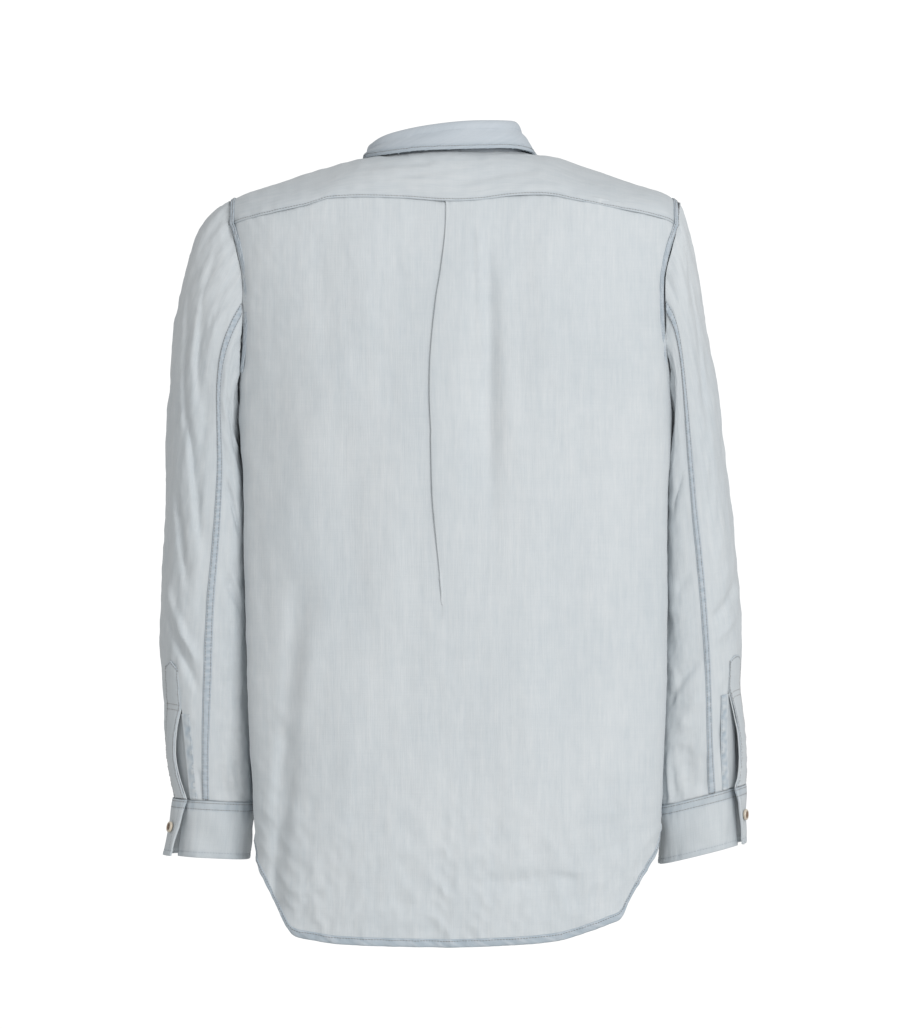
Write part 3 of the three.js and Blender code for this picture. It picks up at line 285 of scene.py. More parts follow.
def body_point(face, share, z, fine=False):
    share, z = np.broadcast_arrays(np.asarray(share, float), np.asarray(z, float))
    away = np.abs(share)
    angle = np.radians(edge_angle(face, z) * away)
    power = 2 / squareness(face)
    x = half_width(share, z) * np.abs(np.sin(angle)) ** power
    centre_y = read(SECTIONS, "z", face, z)
    y = SEAM_Y + (centre_y - SEAM_Y) * np.maximum(0, np.cos(angle)) ** power
    x = x + read(SECTIONS, "z", "roll", z) * bell(y - 60, 30) * smooth(0.4, 0.8, away)
    x = x - read(SECTIONS, "z", "push", z) * bell(y + 15, 46)
    if face == "back":
        tuck = smooth(-290, -240, z) * (1 - smooth(-130, -95, z))
        x = x - 3 * tuck * smooth(0.88, 1, away)
    x = x * np.where(share >= 0, 1, -1)
    if face == "back":
        y = y + creases(x, z, BODY_FOLDS)
        if fine:
            y = y + creases(x, z, BACK_CREASES)
    return point_at(x, y, z)


def hem_height(face, share):
    if face == "front":
        return read(HEM_FRONT, "s", "z", np.abs(share))
    left = read(HEM_BACK["left"], "s", "z", np.abs(share))
    return np.where(share >= 0, left, read(HEM_BACK["right"], "s", "z", np.abs(share)))


def top_height(face, share):
    share = np.asarray(share, float)
    if face == "front":
        return read(FRONT_TOP, "s", "z", np.abs(share))
    z = np.full(share.shape, -60.0)
    for _ in range(3):
        z = read(YOKE_SEAM, "x", "z", body_point("back", share, z)[..., 0])
    return z


def share_at(face, x, z):
    across = np.clip(np.abs(x) / half_width(x, z), 0, 1) ** (squareness(face) / 2)
    return np.where(x >= 0, 1, -1) * np.degrees(np.arcsin(across)) / edge_angle(face, z)


def lifted(surface, u, v, distance, inside):
    point = surface(u, v)
    across = surface(u + 0.5, v) - surface(u - 0.5, v)
    along = surface(u, v + 0.5) - surface(u, v - 0.5)
    normal = unit(np.cross(across, along))
    turn = np.sum(normal * (point - inside), axis=-1, keepdims=True)
    normal = np.where(turn < 0, -normal, normal)
    return point + normal * np.asarray(distance)[..., None], normal


def body_middle(z):
    return point_at(0, SEAM_Y, z)


# %% [markdown]
# The neckline is an oval that dips at the front. Round the back it is read from a table by its
# angle about the neck, with 0 at the wearer's left and 90 at the back, and in front it runs along
# the top of the two fronts.

# %% The neckline
NECK_BACK_REACH = 115
NECK_CORNER_ANGLE = 130
NECK_BACK = table(
    "angle x y z",
    (-25, 77, -22, -10), (0, 79, 4, -7), (30, 70, 36, -3), (60, 41, 57, -1), (90, 0, 65, 0),
    (120, -41, 57, 0), (150, -70, 36, 0), (180, -79, 4, -3), (205, -77, -22, -9),
)


def neck_front(angle):
    from_back = np.abs(angle - 90)
    forward = np.maximum(0, (from_back - NECK_CORNER_ANGLE) / (180 - NECK_CORNER_ANGLE))
    share = mix(NECK_CORNER, 0, forward) * np.where(angle < 90, 1, -1)
    return body_point("front", share, read(FRONT_TOP, "s", "z", np.abs(share)))


def neck_back(angle):
    return point_at(*[read(NECK_BACK, "angle", axis, angle) for axis in "xyz"])


def neck_point(turned):
    angle = np.asarray(turned, float)
    angle = np.where(angle < -90, angle + 360, angle)
    angle = np.where(angle > 270, angle - 360, angle)
    from_back = np.abs(angle - 90)
    share = np.clip((from_back - NECK_BACK_REACH) / (NECK_CORNER_ANGLE - NECK_BACK_REACH), 0, 1)
    end = 90 + np.clip(angle - 90, -NECK_BACK_REACH, NECK_BACK_REACH)
    return mix(neck_back(end), neck_front(angle), share[..., None])


# %% [markdown]
# The centre pleat is the back's own cloth, folded under and back. Its open edge runs down from the
# yoke with a slight wave and fades out near the waist. The table says how the cloth goes round the
# fold: how far each point lies from the edge, how far it tucks under, and how high it stands.

# %% The pleat
PLEAT_UNDERLAP = 9
PLEAT_LAYER = 1.7
PLEAT_END_Z = -485
PLEAT_EDGE = table(
    "z x", (-812, 6), (-479, 8), (-416, 12.5), (-352, 17.4), (-290, 19), (-248, 20.5),
    (-209, 19.4), (-156, 14), (-125, 9), (-82, 4.5), (-30, 5),
)
PLEAT_SECTION = table(
    "p aside lap rise",
    (0, 28, 0, 0), (1, 13, 0, 0), (2, 3, -0.6, 0.02), (3, 0.4, -1.1, 0.2), (3.5, 0, -1.15, 0.42),
    (4, -0.3, -1, 0.62), (5, -1.3, -0.1, 1), (5.6, -2, 0.22, 1.25), (6, -2.6, 0.25, 1.55),
    (6.5, -3.8, 0.1, 1.86), (7, -6, 0, 2), (8, -16, 0, 1.95), (9, -28, 0, 1.7), (10, -39, 0, 0.75),
    (11, -51, 0, 0.25), (12, -64, 0, 0),
)


def pleat_at(z):
    full = smooth(PLEAT_END_Z, PLEAT_END_Z + 150, z)
    pressed = mix(1, 0.5, smooth(-120, -60, z))
    return read(PLEAT_EDGE, "z", "x", z), PLEAT_UNDERLAP * full, PLEAT_LAYER * full**0.6 * pressed


def pleat_bulge(x, z):
    edge, _, rise = pleat_at(z)
    return 2 * rise * smooth(edge + 12, edge + 2, x) * smooth(edge - 46, edge - 26, x)


# %% [markdown]
# The yoke lies over both shoulders. Each of its columns is one smooth curve from the seam across
# the back, over the shoulder, to the seam or the neckline in front, and the table gives the slopes
# with which the curve leaves and arrives.

# %% The yoke's surface
CLOTH = 0.9
DOUBLE_CLOTH = 1.8
YOKE_NECK_COLUMN = 0.55
YOKE_COLUMNS = table(
    "column share end rise fall lean",
    (0, 1, 1, 108, -112, -6), (0.2, 0.74, 0.74, 112, -108, -20), (0.42, 0.5, 0.42, 106, -100, -26),
    (YOKE_NECK_COLUMN, 0.4, NECK_CORNER, 98, -72, -26), (0.7, 0.28, 0, 98, -26, -22),
    (0.85, 0.14, 0, 92, -4, -20), (1, 0, 0, 88, 4, -20),
)


def hermite(p0, t0, p1, t1, v):
    v = np.asarray(v, float)[..., None]
    start = p0 * (2 * v**3 - 3 * v**2 + 1) + t0 * (v**3 - 2 * v**2 + v)
    return start + p1 * (3 * v**2 - 2 * v**3) + t1 * (v**3 - v**2)


def over_panel(face, share):
    top = top_height(face, share)
    surface = lambda u, v: body_point(face, u / PANEL_SPAN, v)
    point, _ = lifted(surface, share * PANEL_SPAN, top, CLOTH + 0.5, body_middle(top))
    if face == "back":
        point[..., 1] += pleat_bulge(point[..., 0], top)
    return point


def yoke_point(side, column, forward):
    column, forward = np.broadcast_arrays(np.asarray(column, float), np.asarray(forward, float))
    sign = side_sign(side)
    value = lambda name: read(YOKE_COLUMNS, "column", name, column)
    start = over_panel("back", sign * np.maximum(value("share"), 1e-6))
    turn = np.clip((column - YOKE_NECK_COLUMN) / (1 - YOKE_NECK_COLUMN), 0, 1)
    angle = mix(90 - NECK_CORNER_ANGLE, 90, turn)
    neck = neck_point(angle if side == "left" else 180 - angle)
    front = over_panel("front", sign * np.maximum(value("end"), 1e-6))
    end = np.where((column <= YOKE_NECK_COLUMN)[..., None], front, neck)
    bow = 16 * (1 - smooth(0, 0.3, column))
    across = end[..., 0] - start[..., 0]
    leaving = point_at(across + sign * bow, value("lean"), value("rise"))
    arriving = point_at(across - sign * bow, value("lean") * 1.6, value("fall"))
    return hermite(start, leaving, end, arriving, forward)


print("yoke at the centre back:", yoke_point("left", 1, 0).round(1))

# %% [markdown]
# A sleeve is a stack of rings from the armhole (0) to the cuff (12). The first rings keep the form
# of the armhole, and further down each is a rounded oval between its outer and inner points. Angles
# run about the arm: 0 is outside, 90 behind and 180 beside the body.

# %% Sizes of the sleeves
LAST_RING = 12
YOKE_LOOP_ANGLE = 48
UNDERARM_ANGLE = 180
LOOP_HEIGHTS = table(
    "angle z", (48, -76), (60, -92), (75, -120), (90, -152), (110, -196), (130, -236), (150, -266),
    (165, -281), (180, -286),
)
RING_COLUMNS = "ring outX outZ inX inZ y depth loop"
SLEEVES = {
    "left": table(
        RING_COLUMNS,
        (0, 226, -49, 212, -286, -6, 75, 1),
        (1, 252, -62, 215, -291, -4, 76, 0.62),
        (2, 267, -92, 213, -297, -6, 75, 0.3),
        (3, 273, -134, 210.5, -305, -8, 73, 0.1),
        (4, 278, -188, 206, -318, -10, 71, 0),
        (5, 283, -250, 203, -340, -12, 69, 0),
        (6, 285, -320, 202, -380, -14, 67, 0),
        (7, 287, -390, 201, -432, -16, 65, 0),
        (8, 290, -450, 200, -478, -18, 63, 0),
        (9, 291, -500, 199.5, -518, -20, 60, 0),
        (10, 289, -545, 199, -556, -22, 57, 0),
        (11, 284, -595, 198, -602, -24, 52, 0),
        (12, 278, -648, 197, -652, -26, 43, 0),
    ),
    "right": table(
        RING_COLUMNS,
        (0, 235, -49, 222, -286, -6, 75, 1),
        (1, 243, -70, 226, -291, -4, 76, 0.62),
        (2, 248, -104, 223, -297, -6, 75, 0.3),
        (3, 254, -146, 219, -305, -8, 73, 0.1),
        (4, 262, -196, 215.5, -318, -10, 71, 0),
        (5, 272, -256, 213.5, -340, -12, 69, 0),
        (6, 279, -322, 214.5, -380, -14, 67, 0),
        (7, 287, -390, 213, -432, -16, 65, 0),
        (8, 292, -446, 212, -478, -18, 63, 0),
        (9, 294, -494, 211.5, -518, -20, 60, 0),
        (10, 293, -538, 211, -558, -22, 57, 0),
        (11, 293, -586, 209.5, -604, -24, 52, 0),
        (12, 295, -635, 210, -656, -26, 43, 0),
    ),
}
SLEEVE_SEAMS = {
    "left": table(
        "ring angle", (0, 90), (1.5, 96), (3.6, 102), (5, 103), (6, 101), (7.5, 95), (9.7, 91), (12, 81),
    ),
    "right": table(
        "ring angle", (0, 90), (1.5, 92), (3.2, 94), (5.8, 94), (7.1, 90), (8.7, 86), (10.8, 80), (12, 78),
    ),
}

# %% [markdown]
# Bent arms leave slanting folds behind the elbow and long soft ones in front. Each row goes from
# one ring and angle to another. The last rows of each side are the small creases near the cuff.

# %% Folds of the sleeves
FOLD_COLUMNS = "ring0 angle0 ring1 angle1 width depth lean"
SLEEVE_FOLDS = {
    "left": table(
        FOLD_COLUMNS,
        (1.2, 56, 4.2, 78, 6.5, -4.5, 0.3),
        (3, 42, 5.2, 62, 6.5, -3.8, 0.3),
        (4.9, 66, 6.8, 86, 5.5, -4.5, 0.3),
        (6.2, 44, 7.5, 68, 6, -3.8, 0.3),
        (7.6, 30, 9, 84, 5.5, 3.2, 0),
        (8.1, 28, 9.5, 80, 5, -2.4, 0.2),
        (8.4, 60, 9.1, 82, 4, 2, 0),
        (5.3, 112, 6.2, 132, 5, -3.6, 0.3),
        (5.0, 110, 5.9, 134, 4, 1.8, 0),
        (2.5, 300, 6.5, 320, 12, -5, 0),
        (6.5, 250, 8, 300, 10, -5, 0),
        (8.6, 52, 9.8, 84, 6, -2, 0.3),
        (7.1, 108, 7.6, 134, 4.5, -2.6, 0.3),
        (6.8, 110, 7.3, 136, 4, 1.4, 0),
        (8.2, 112, 9.4, 126, 7, -1.6, 0),
        (11.3, 100, 11.9, 104, 5, -2, 0),
        (11.2, 118, 11.9, 120, 5, -1.8, 0),
        (11.4, 74, 11.95, 76, 4, -1.6, 0),
    ),
    "right": table(
        FOLD_COLUMNS,
        (5.2, 104, 5.7, 125, 5, -3.4, 0.3),
        (8.2, 78, 7.7, 28, 6, -3.6, 0.3),
        (8.7, 74, 8.3, 30, 5, 2, 0),
        (2, 50, 5.5, 64, 8, -3, 0.2),
        (9.1, 96, 9.9, 132, 6, -2.6, 0.3),
        (11.0, 132, 11.9, 128, 5, 2.2, 0),
        (2.5, 300, 6.5, 322, 12, -5, 0),
        (6.8, 250, 8.2, 304, 10, -5, 0),
        (6.9, 90, 7.3, 118, 6, -2, 0.2),
        (8.9, 88, 9.4, 118, 7, -2, 0.2),
        (9.9, 92, 10.5, 112, 7, 1.8, 0),
        (11.2, 84, 11.9, 88, 5, -2.4, 0),
        (10.9, 104, 11.8, 98, 6, -2, 0.2),
        (11.3, 122, 11.95, 118, 5, -1.8, 0),
        (3.4, 66, 4.6, 52, 7, -1.4, 0),
    ),
}


# %% The sleeves' surface
def armhole_point(side, angle):
    turn = np.mod(angle, 360)
    from_top = np.minimum(turn, 360 - turn)
    signed = np.where(turn > 180, turn - 360, turn)
    z = read(LOOP_HEIGHTS, "angle", "z", from_top)
    edge = side_sign(side)
    body = np.where((turn > 180)[..., None], body_point("front", edge, z), body_point("back", edge, z))
    over = yoke_point(side, 0, np.clip((YOKE_LOOP_ANGLE - signed) / (2 * YOKE_LOOP_ANGLE), 0, 1))
    return np.where((from_top >= YOKE_LOOP_ANGLE)[..., None], body, over)


def sleeve_point(side, ring, angle):
    ring, angle = np.broadcast_arrays(np.asarray(ring, float), np.asarray(angle, float))
    sign = side_sign(side)
    value = lambda name: read(SLEEVES[side], "ring", name, ring)
    outer = point_at(sign * value("outX"), 0, value("outZ"))
    inner = point_at(sign * value("inX"), 0, value("inZ"))
    middle = (outer + inner) / 2
    middle[..., 1] = value("y")
    along, back = np.cos(np.radians(angle)), np.sin(np.radians(angle))
    beside = np.maximum(0, np.sin(np.radians(2 * angle - 180))) * (back > 0)
    power = 2 / (SLEEVE_SQUARENESS + beside)
    point = middle + (outer - inner) / 2 * (np.sign(along) * np.abs(along) ** power)[..., None]
    point[..., 1] += value("depth") * np.sign(back) * np.abs(back) ** power
    point = mix(point, armhole_point(side, angle), value("loop")[..., None])
    point[..., 0] += sign * 1.2 * (1 - smooth(0, 0.4, ring))
    turn = np.mod(angle, 360)
    scaled = {k: v * RING_LENGTH if k.startswith("ring") else v for k, v in SLEEVE_FOLDS[side].items()}
    rows = {k: scaled[k] for k in "angle0 ring0 angle1 ring1 width depth lean".split()}
    height = creases(turn, ring * RING_LENGTH, rows)
    return point + unit(point - middle) * height[..., None]


# %% [markdown]
# Above each cuff the sleeve is slit. Its outer edge, which carries the tower placket, has sprung
# forward and out, so the cloth near it is turned about the arm and lifted a little.

# %% The slit above the cuff
OPENINGS = {
    "left": {"angle": 58, "top": 10.2, "bottom_shift": 4, "middle_shift": 18, "lift": 3, "bulge": 4},
    "right": {"angle": 52, "top": 9.9, "bottom_shift": 3, "middle_shift": 20, "lift": 7, "bulge": 3},
}


def open_sleeve_point(side, ring, angle):
    opening = OPENINGS[side]
    down = np.clip((ring - opening["top"]) / (LAST_RING - opening["top"]), 0, 1)
    nearness = np.maximum(0, 1 - (opening["angle"] - angle) / 75)
    pull = nearness**2 * (3 - 2 * nearness) * (down > 0)
    shift = np.sin(math.pi * down) * opening["middle_shift"] * 0.6
    shift = shift + smooth(0, 1, down) * opening["bottom_shift"]
    turned = angle - pull * shift
    point = sleeve_point(side, ring, turned)
    outward = unit(point - sleeve_point(side, ring, turned + 180))
    lift = opening["lift"] * smooth(0, 1, down) + opening["bulge"] * np.sin(math.pi * down)
    return point + outward * (pull * lift)[..., None]


def seam_angle(side, ring):
    return read(SLEEVE_SEAMS[side], "ring", "angle", ring)


def angle_of(side, ring, length):
    return np.degrees(length / read(SLEEVES[side], "ring", "depth", ring))


# %% [markdown]
# The cuff's under end slips beneath and its over end laps on top, so its angle runs past a full
# turn. Towards the bottom the over end swings away a little, and on the right its edge curls out.

# %% The cuffs' surface
CUFFS = {
    "left": {"drop_x": 6, "drop_z": -57, "flare": 5, "under": 20, "swing": 13, "curl": 0},
    "right": {"drop_x": 2, "drop_z": -58, "flare": -4, "under": 20, "swing": 9, "curl": 4.5},
}


def lap_angle(side, share):
    opening = OPENINGS[side]
    start = opening["angle"] - CUFFS[side]["under"]
    return mix(start, opening["angle"] - opening["bottom_shift"] + 360, share)


def cuff_point(side, share, down):
    share, down = np.broadcast_arrays(np.asarray(share, float), np.asarray(down, float))
    cuff, angle = CUFFS[side], lap_angle(side, share)
    angle = angle - CUFFS[side]["swing"] * down * smooth(0.82, 1, share)
    edge = sleeve_point(side, LAST_RING, angle)
    outward = unit(edge - sleeve_point(side, LAST_RING, angle + 180))
    under = -4.2 * (1 - smooth(0, 0.12, share))
    over = (OPENINGS[side]["lift"] + cuff["flare"] * down) * smooth(0.8, 1, share)
    over = over + cuff["curl"] * smooth(0.968, 1, share) * smooth(0, 0.3, down)
    edge = edge + outward * (1 + under + over)[..., None]
    edge[..., 0] += side_sign(side) * cuff["drop_x"] * down
    edge[..., 2] += cuff["drop_z"] * down - 0.3
    return edge


# %% [markdown]
# The collar is a stand round the neckline and a leaf that turns down over it. The table gives, at
# each angle about the neck, how tall the stand is and where the leaf's edge comes to lie.

# %% The collar's surface
COLLAR = table(
    "angle stand x y z",
    (-90, 26, 50, -112, -130), (-82, 26, 52, -111, -130), (-70, 26, 62, -103, -108),
    (-55, 25, 75, -87, -79), (-40, 23, 87, -74, -44), (-25, 18, 89, -53, -18),
    (-10, 14, 87, -24, -7), (0, 12, 84.5, 2, -5), (20, 11, 81, 31, -4.5), (45, 15.5, 62, 55, -3),
    (70, 20, 31, 70, 0), (90, 23, 0, 74, 1), (110, 25, -31, 71, 2), (135, 25.5, -62, 56, 3),
    (160, 25, -81, 31, 1), (180, 18, -86, 2, -1), (190, 17, -91, -24, -5), (205, 19, -92, -53, -17),
    (220, 23, -87, -74, -44), (235, 25, -75, -87, -79), (250, 26, -62, -103, -108),
    (262, 26, -52, -111, -130), (270, 26, -50, -112, -130),
)


COLLAR_LEAN = table(
    "angle inward", (-90, 0), (60, 0), (125, 0), (148, 6), (165, 9), (195, 9), (225, 4), (245, 0), (270, 0),
)


def collar_section(angle, out, up):
    point = neck_point(angle)
    along = neck_point(angle + 2) - neck_point(angle - 2)
    outward = unit(point_at(along[..., 1], -along[..., 0], 0))
    point = point + outward * np.asarray(out)[..., None]
    point[..., 2] += up
    return point


def collar_stand_point(angle, up):
    height = read(COLLAR, "angle", "stand", angle)
    from_back = np.abs(angle - 90)
    under = -3 * smooth(239, 259, angle)
    base = -4.5 + 5.8 * smooth(80, 120, from_back) + 3.6 * bell(from_back - 124, 30)
    lean = read(COLLAR_LEAN, "angle", "inward", angle)
    return collar_section(angle, mix(-1.7, -4 - lean, up) + under, mix(base, height, up))


CREST = table(
    "p out up", (0, 4.6, -3), (1, 3.6, 1.4), (2, 1.2, 4.6), (3, -1.6, 5.6), (4, -4.4, 5.6),
    (5, -6.6, 4.6), (6, -7.2, 1),
)


def collar_fall_point(angle, fall):
    stand = read(COLLAR, "angle", "stand", angle)
    lean = read(COLLAR_LEAN, "angle", "inward", angle)
    over = np.clip((fall - 0.7) / 0.3, 0, 1) * 6
    crest = collar_section(angle, read(CREST, "p", "out", over) - lean, stand + read(CREST, "p", "up", over))
    edge = point_at(*[read(COLLAR, "angle", axis, angle) for axis in "xyz"])
    start = collar_section(angle, CREST["out"][0] - lean, stand + CREST["up"][0])
    leaf = mix(edge, start, np.clip(fall / 0.7, 0, 1)[..., None])
    return np.where((fall >= 0.7)[..., None], crest, leaf)


print("left cuff's button side:", cuff_point("left", 0.955, 0.5).round(1))

# %% [markdown]
# Cloth is a wall: an outer surface, an inner one moved in by its thickness, and rims round its
# edges. A piece starts as a grid of points. Its edges are measured along the cloth, so that seams
# can be sunk and puckered at a real distance from them, and the grid is kept so that stitches can
# be laid on it later. The grain map holds metres of cloth across and along, for the weave.

# %% Cloth walls
surfaces = {}


def grid_normals(points, inside, gap=None):
    if gap is None:
        across = np.gradient(points, axis=1)
    else:
        halves = points[:, :gap + 1], points[:, gap + 1:]
        across = np.concatenate([np.gradient(half, axis=1) for half in halves], axis=1)
    normal = unit(np.cross(across, np.gradient(points, axis=0)))
    outward = np.sum(normal * (points - inside)) > 0
    return (normal if outward else -normal), outward


def arcs(points, axis):
    steps = np.linalg.norm(np.diff(points, axis=axis), axis=-1)
    start = np.zeros_like(np.take(steps, [0], axis=axis))
    return np.concatenate([start, np.cumsum(steps, axis=axis)], axis=axis)


def edges_of(points):
    up, across = arcs(points, 0), arcs(points, 1)
    return {"bottom": up, "top": up[-1:] - up, "first": across, "last": across[:, -1:] - across}


def cloth(name, points, inside, thickness=CLOTH, relief=None, grain=None, tone=0.0, gap=None, joined=None):
    rows, columns = points.shape[:2]
    normals, outward = grid_normals(points, inside, gap)
    if relief is not None:
        points = points + normals * relief[..., None]
        normals, _ = grid_normals(points, inside, gap)
    index = np.arange(rows * columns).reshape(rows, columns)
    keep = np.ones((rows - 1, columns - 1), bool)
    if gap is not None:
        index[joined, gap + 1] = index[joined, gap]
        both = unit(normals[joined, gap] + normals[joined, gap + 1])
        normals[joined, gap] = normals[joined, gap + 1] = both
        keep[:, gap] = False
    corner = [index[:-1, :-1], index[:-1, 1:], index[1:, 1:], index[1:, :-1]]
    quads = np.stack(corner, axis=-1)
    quads = quads[keep]
    quads = quads if outward else quads[:, ::-1]
    surfaces[name] = (points, normals)
    tone = np.broadcast_to(np.asarray(tone, float), (rows, columns))
    grain = grain if grain is not None else np.stack([arcs(points, 1), arcs(points, 0)], axis=-1) * MM
    depth = np.broadcast_to(np.asarray(thickness, float), (rows, columns)).reshape(-1, 1)
    flat = points.reshape(-1, 3)
    return wall(name, flat, flat - normals.reshape(-1, 3) * depth, quads, grain.reshape(-1, 2), tone.ravel())


def wall(name, outer, inner, quads, grain, tone):
    count = len(outer)
    start, end = quads.ravel(), np.roll(quads, -1, axis=1).ravel()
    edge = ~np.isin(start * count + end, end * count + start)
    rims = np.stack([end[edge], start[edge], start[edge] + count, end[edge] + count], axis=-1)
    faces = np.concatenate([quads, quads[:, ::-1] + count, rims])
    used, faces = np.unique(faces, return_inverse=True)
    faces = faces.reshape(-1, 4)
    spots = (np.concatenate([outer, inner]) * MM)[used]
    mesh = bpy.data.meshes.new(name)
    mesh.from_pydata(spots.tolist(), [], faces.tolist())
    smooth_faces = np.ones(len(faces), bool)
    smooth_faces[len(faces) - len(rims):] = False
    mesh.polygons.foreach_set("use_smooth", smooth_faces)
    layer = mesh.uv_layers.new(name="grain")
    layer.data.foreach_set("uv", np.tile(grain, (2, 1))[used][faces.ravel()].ravel())
    mark = mesh.attributes.new("tone", "FLOAT", "POINT")
    mark.data.foreach_set("value", np.tile(tone, 2)[used].astype(np.float32))
    mesh.validate()
    piece = bpy.data.objects.new(name, mesh)
    bpy.context.scene.collection.objects.link(piece)
    print(f"{name}: {2 * len(faces)} triangles")
    return piece


def bunched(count, amount=0.6):
    t = np.linspace(0, 1, count)
    return t - amount * np.sin(2 * math.pi * t) / (2 * math.pi)


# %% [markdown]
# A row of stitches pulls the cloth in: a narrow groove, and beside it small puckers that die away.
# Where cloth is felled over itself it also stands a little prouder, and after washing the ridges
# between puckers are paler and the hollows bluer. This gives the relief and the tone together.

# %% Sewn edges
def sewn(edge, along, at, seed, pucker=0.35, reach=9, pitch=7.5):
    groove = sum(-0.28 * bell(edge - place, 1.1) for place in at)
    wave = wander(along / pitch, edge / 30, seed, 5)
    near = np.exp(-np.abs(edge - at[-1]) / reach)
    return groove + pucker * wave * near


def seam_tone(edge, along, at, seed, pitch=7.5):
    wave = wander(along / pitch, edge / 30, seed, 5)
    return (0.45 + 0.4 * np.maximum(0, -wave)) * (1 - smooth(at[-1], at[-1] + 3, edge))


def finish_cloth(piece, nodes, material):
    piece.data.materials.append(material)
    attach(piece, "root")
    if nodes:
        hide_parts(*nodes)


# %% [markdown]
# Light denim is woven from pale blue warp threads and white weft. Washing takes most of the blue
# out, and what is left are thin upright streaks where a thread was thick, with paler clouds over
# them. The group reads the grain map, so the streaks follow the cloth, and gives a shade and a
# height. It is shared by every denim piece, each with its own values.

# %% Shader groups
def new_group(name, inputs, outputs):
    group = bpy.data.node_groups.new(name, "ShaderNodeTree")
    for label, kind, value in inputs:
        socket = group.interface.new_socket(label, in_out="INPUT", socket_type=kind)
        if value is not None:
            socket.default_value = value
    for label, kind in outputs:
        group.interface.new_socket(label, in_out="OUTPUT", socket_type=kind)
    return group, group.nodes.new("NodeGroupInput"), group.nodes.new("NodeGroupOutput")


def math_node(tree, operation, a, b, c=None):
    node = tree.nodes.new("ShaderNodeMath")
    node.operation = operation
    for socket, value in zip(node.inputs, (a, b, c)):
        if isinstance(value, bpy.types.NodeSocket):
            tree.links.new(value, socket)
        elif value is not None:
            socket.default_value = value
    return node.outputs[0]


def stretched_noise(tree, vector, scale, detail, offset=0.0):
    place = tree.nodes.new("ShaderNodeMapping")
    place.inputs["Scale"].default_value = scale
    place.inputs["Location"].default_value = (offset, offset * 0.7, 0)
    tree.links.new(vector, place.inputs["Vector"])
    noise = tree.nodes.new("ShaderNodeTexNoise")
    noise.inputs["Scale"].default_value = 1.0
    noise.inputs["Detail"].default_value = detail
    tree.links.new(place.outputs["Vector"], noise.inputs["Vector"])
    return math_node(tree, "SUBTRACT", noise.outputs["Fac"], 0.5)


TWILL_PITCH = 0.0011


def denim_group():
    inputs = [
        ("Grain", "NodeSocketVector", None), ("Streaks", "NodeSocketFloat", 0.5),
        ("Clouds", "NodeSocketFloat", 0.4), ("Twill", "NodeSocketFloat", 1.0),
    ]
    outputs = [("Shade", "NodeSocketFloat"), ("Height", "NodeSocketFloat")]
    group, given, made = new_group("denim_weave", inputs, outputs)
    grain = given.outputs["Grain"]
    fine = stretched_noise(group, grain, (820, 42, 1), 2)
    broad = stretched_noise(group, grain, (230, 14, 1), 3, 4.0)
    patches = stretched_noise(group, grain, (95, 60, 1), 2, 6.0)
    weft = stretched_noise(group, grain, (18, 900, 1), 1, 9.0)
    clouds = stretched_noise(group, grain, (11, 6, 1), 3, 2.0)
    streaks = math_node(group, "MULTIPLY_ADD", fine, 0.9, math_node(group, "MULTIPLY", broad, 0.9))
    streaks = math_node(group, "MULTIPLY_ADD", weft, 0.35, streaks)
    streaks = math_node(group, "MULTIPLY_ADD", patches, 0.6, streaks)
    shade = math_node(group, "MULTIPLY_ADD", streaks, given.outputs["Streaks"], 0.5)
    shade = math_node(group, "MULTIPLY_ADD", clouds, given.outputs["Clouds"], shade)
    group.links.new(shade, made.inputs["Shade"])
    parts = group.nodes.new("ShaderNodeSeparateXYZ")
    group.links.new(grain, parts.inputs[0])
    slope = math_node(group, "MULTIPLY_ADD", parts.outputs["Y"], 0.6, parts.outputs["X"])
    ridge = math_node(group, "SINE", math_node(group, "MULTIPLY", slope, 2 * math.pi / TWILL_PITCH), None)
    ridge = math_node(group, "MULTIPLY", ridge, given.outputs["Twill"])
    height = math_node(group, "MULTIPLY_ADD", ridge, 0.16, math_node(group, "MULTIPLY", streaks, 1.1))
    group.links.new(height, made.inputs["Height"])
    return group


DENIM_WEAVE = denim_group()
print("denim group nodes:", len(DENIM_WEAVE.nodes))


# %% [markdown]
# The denim itself stays one Principled shader: matt, with a little sheen from the nap. Its colour
# goes from the blue left in the threads to the washed white, and the tone stored on the mesh turns
# it bluer along seams, where the folded cloth kept more of its dye.

# %% Denim materials
def mixed_colour(tree, share, a, b):
    node = tree.nodes.new("ShaderNodeMix")
    node.data_type = "RGBA"
    tree.links.new(share, node.inputs["Factor"])
    for socket, value in ((node.inputs["A"], a), (node.inputs["B"], b)):
        if isinstance(value, bpy.types.NodeSocket):
            tree.links.new(value, socket)
        else:
            socket.default_value = (*value, 1)
    return node.outputs["Result"]


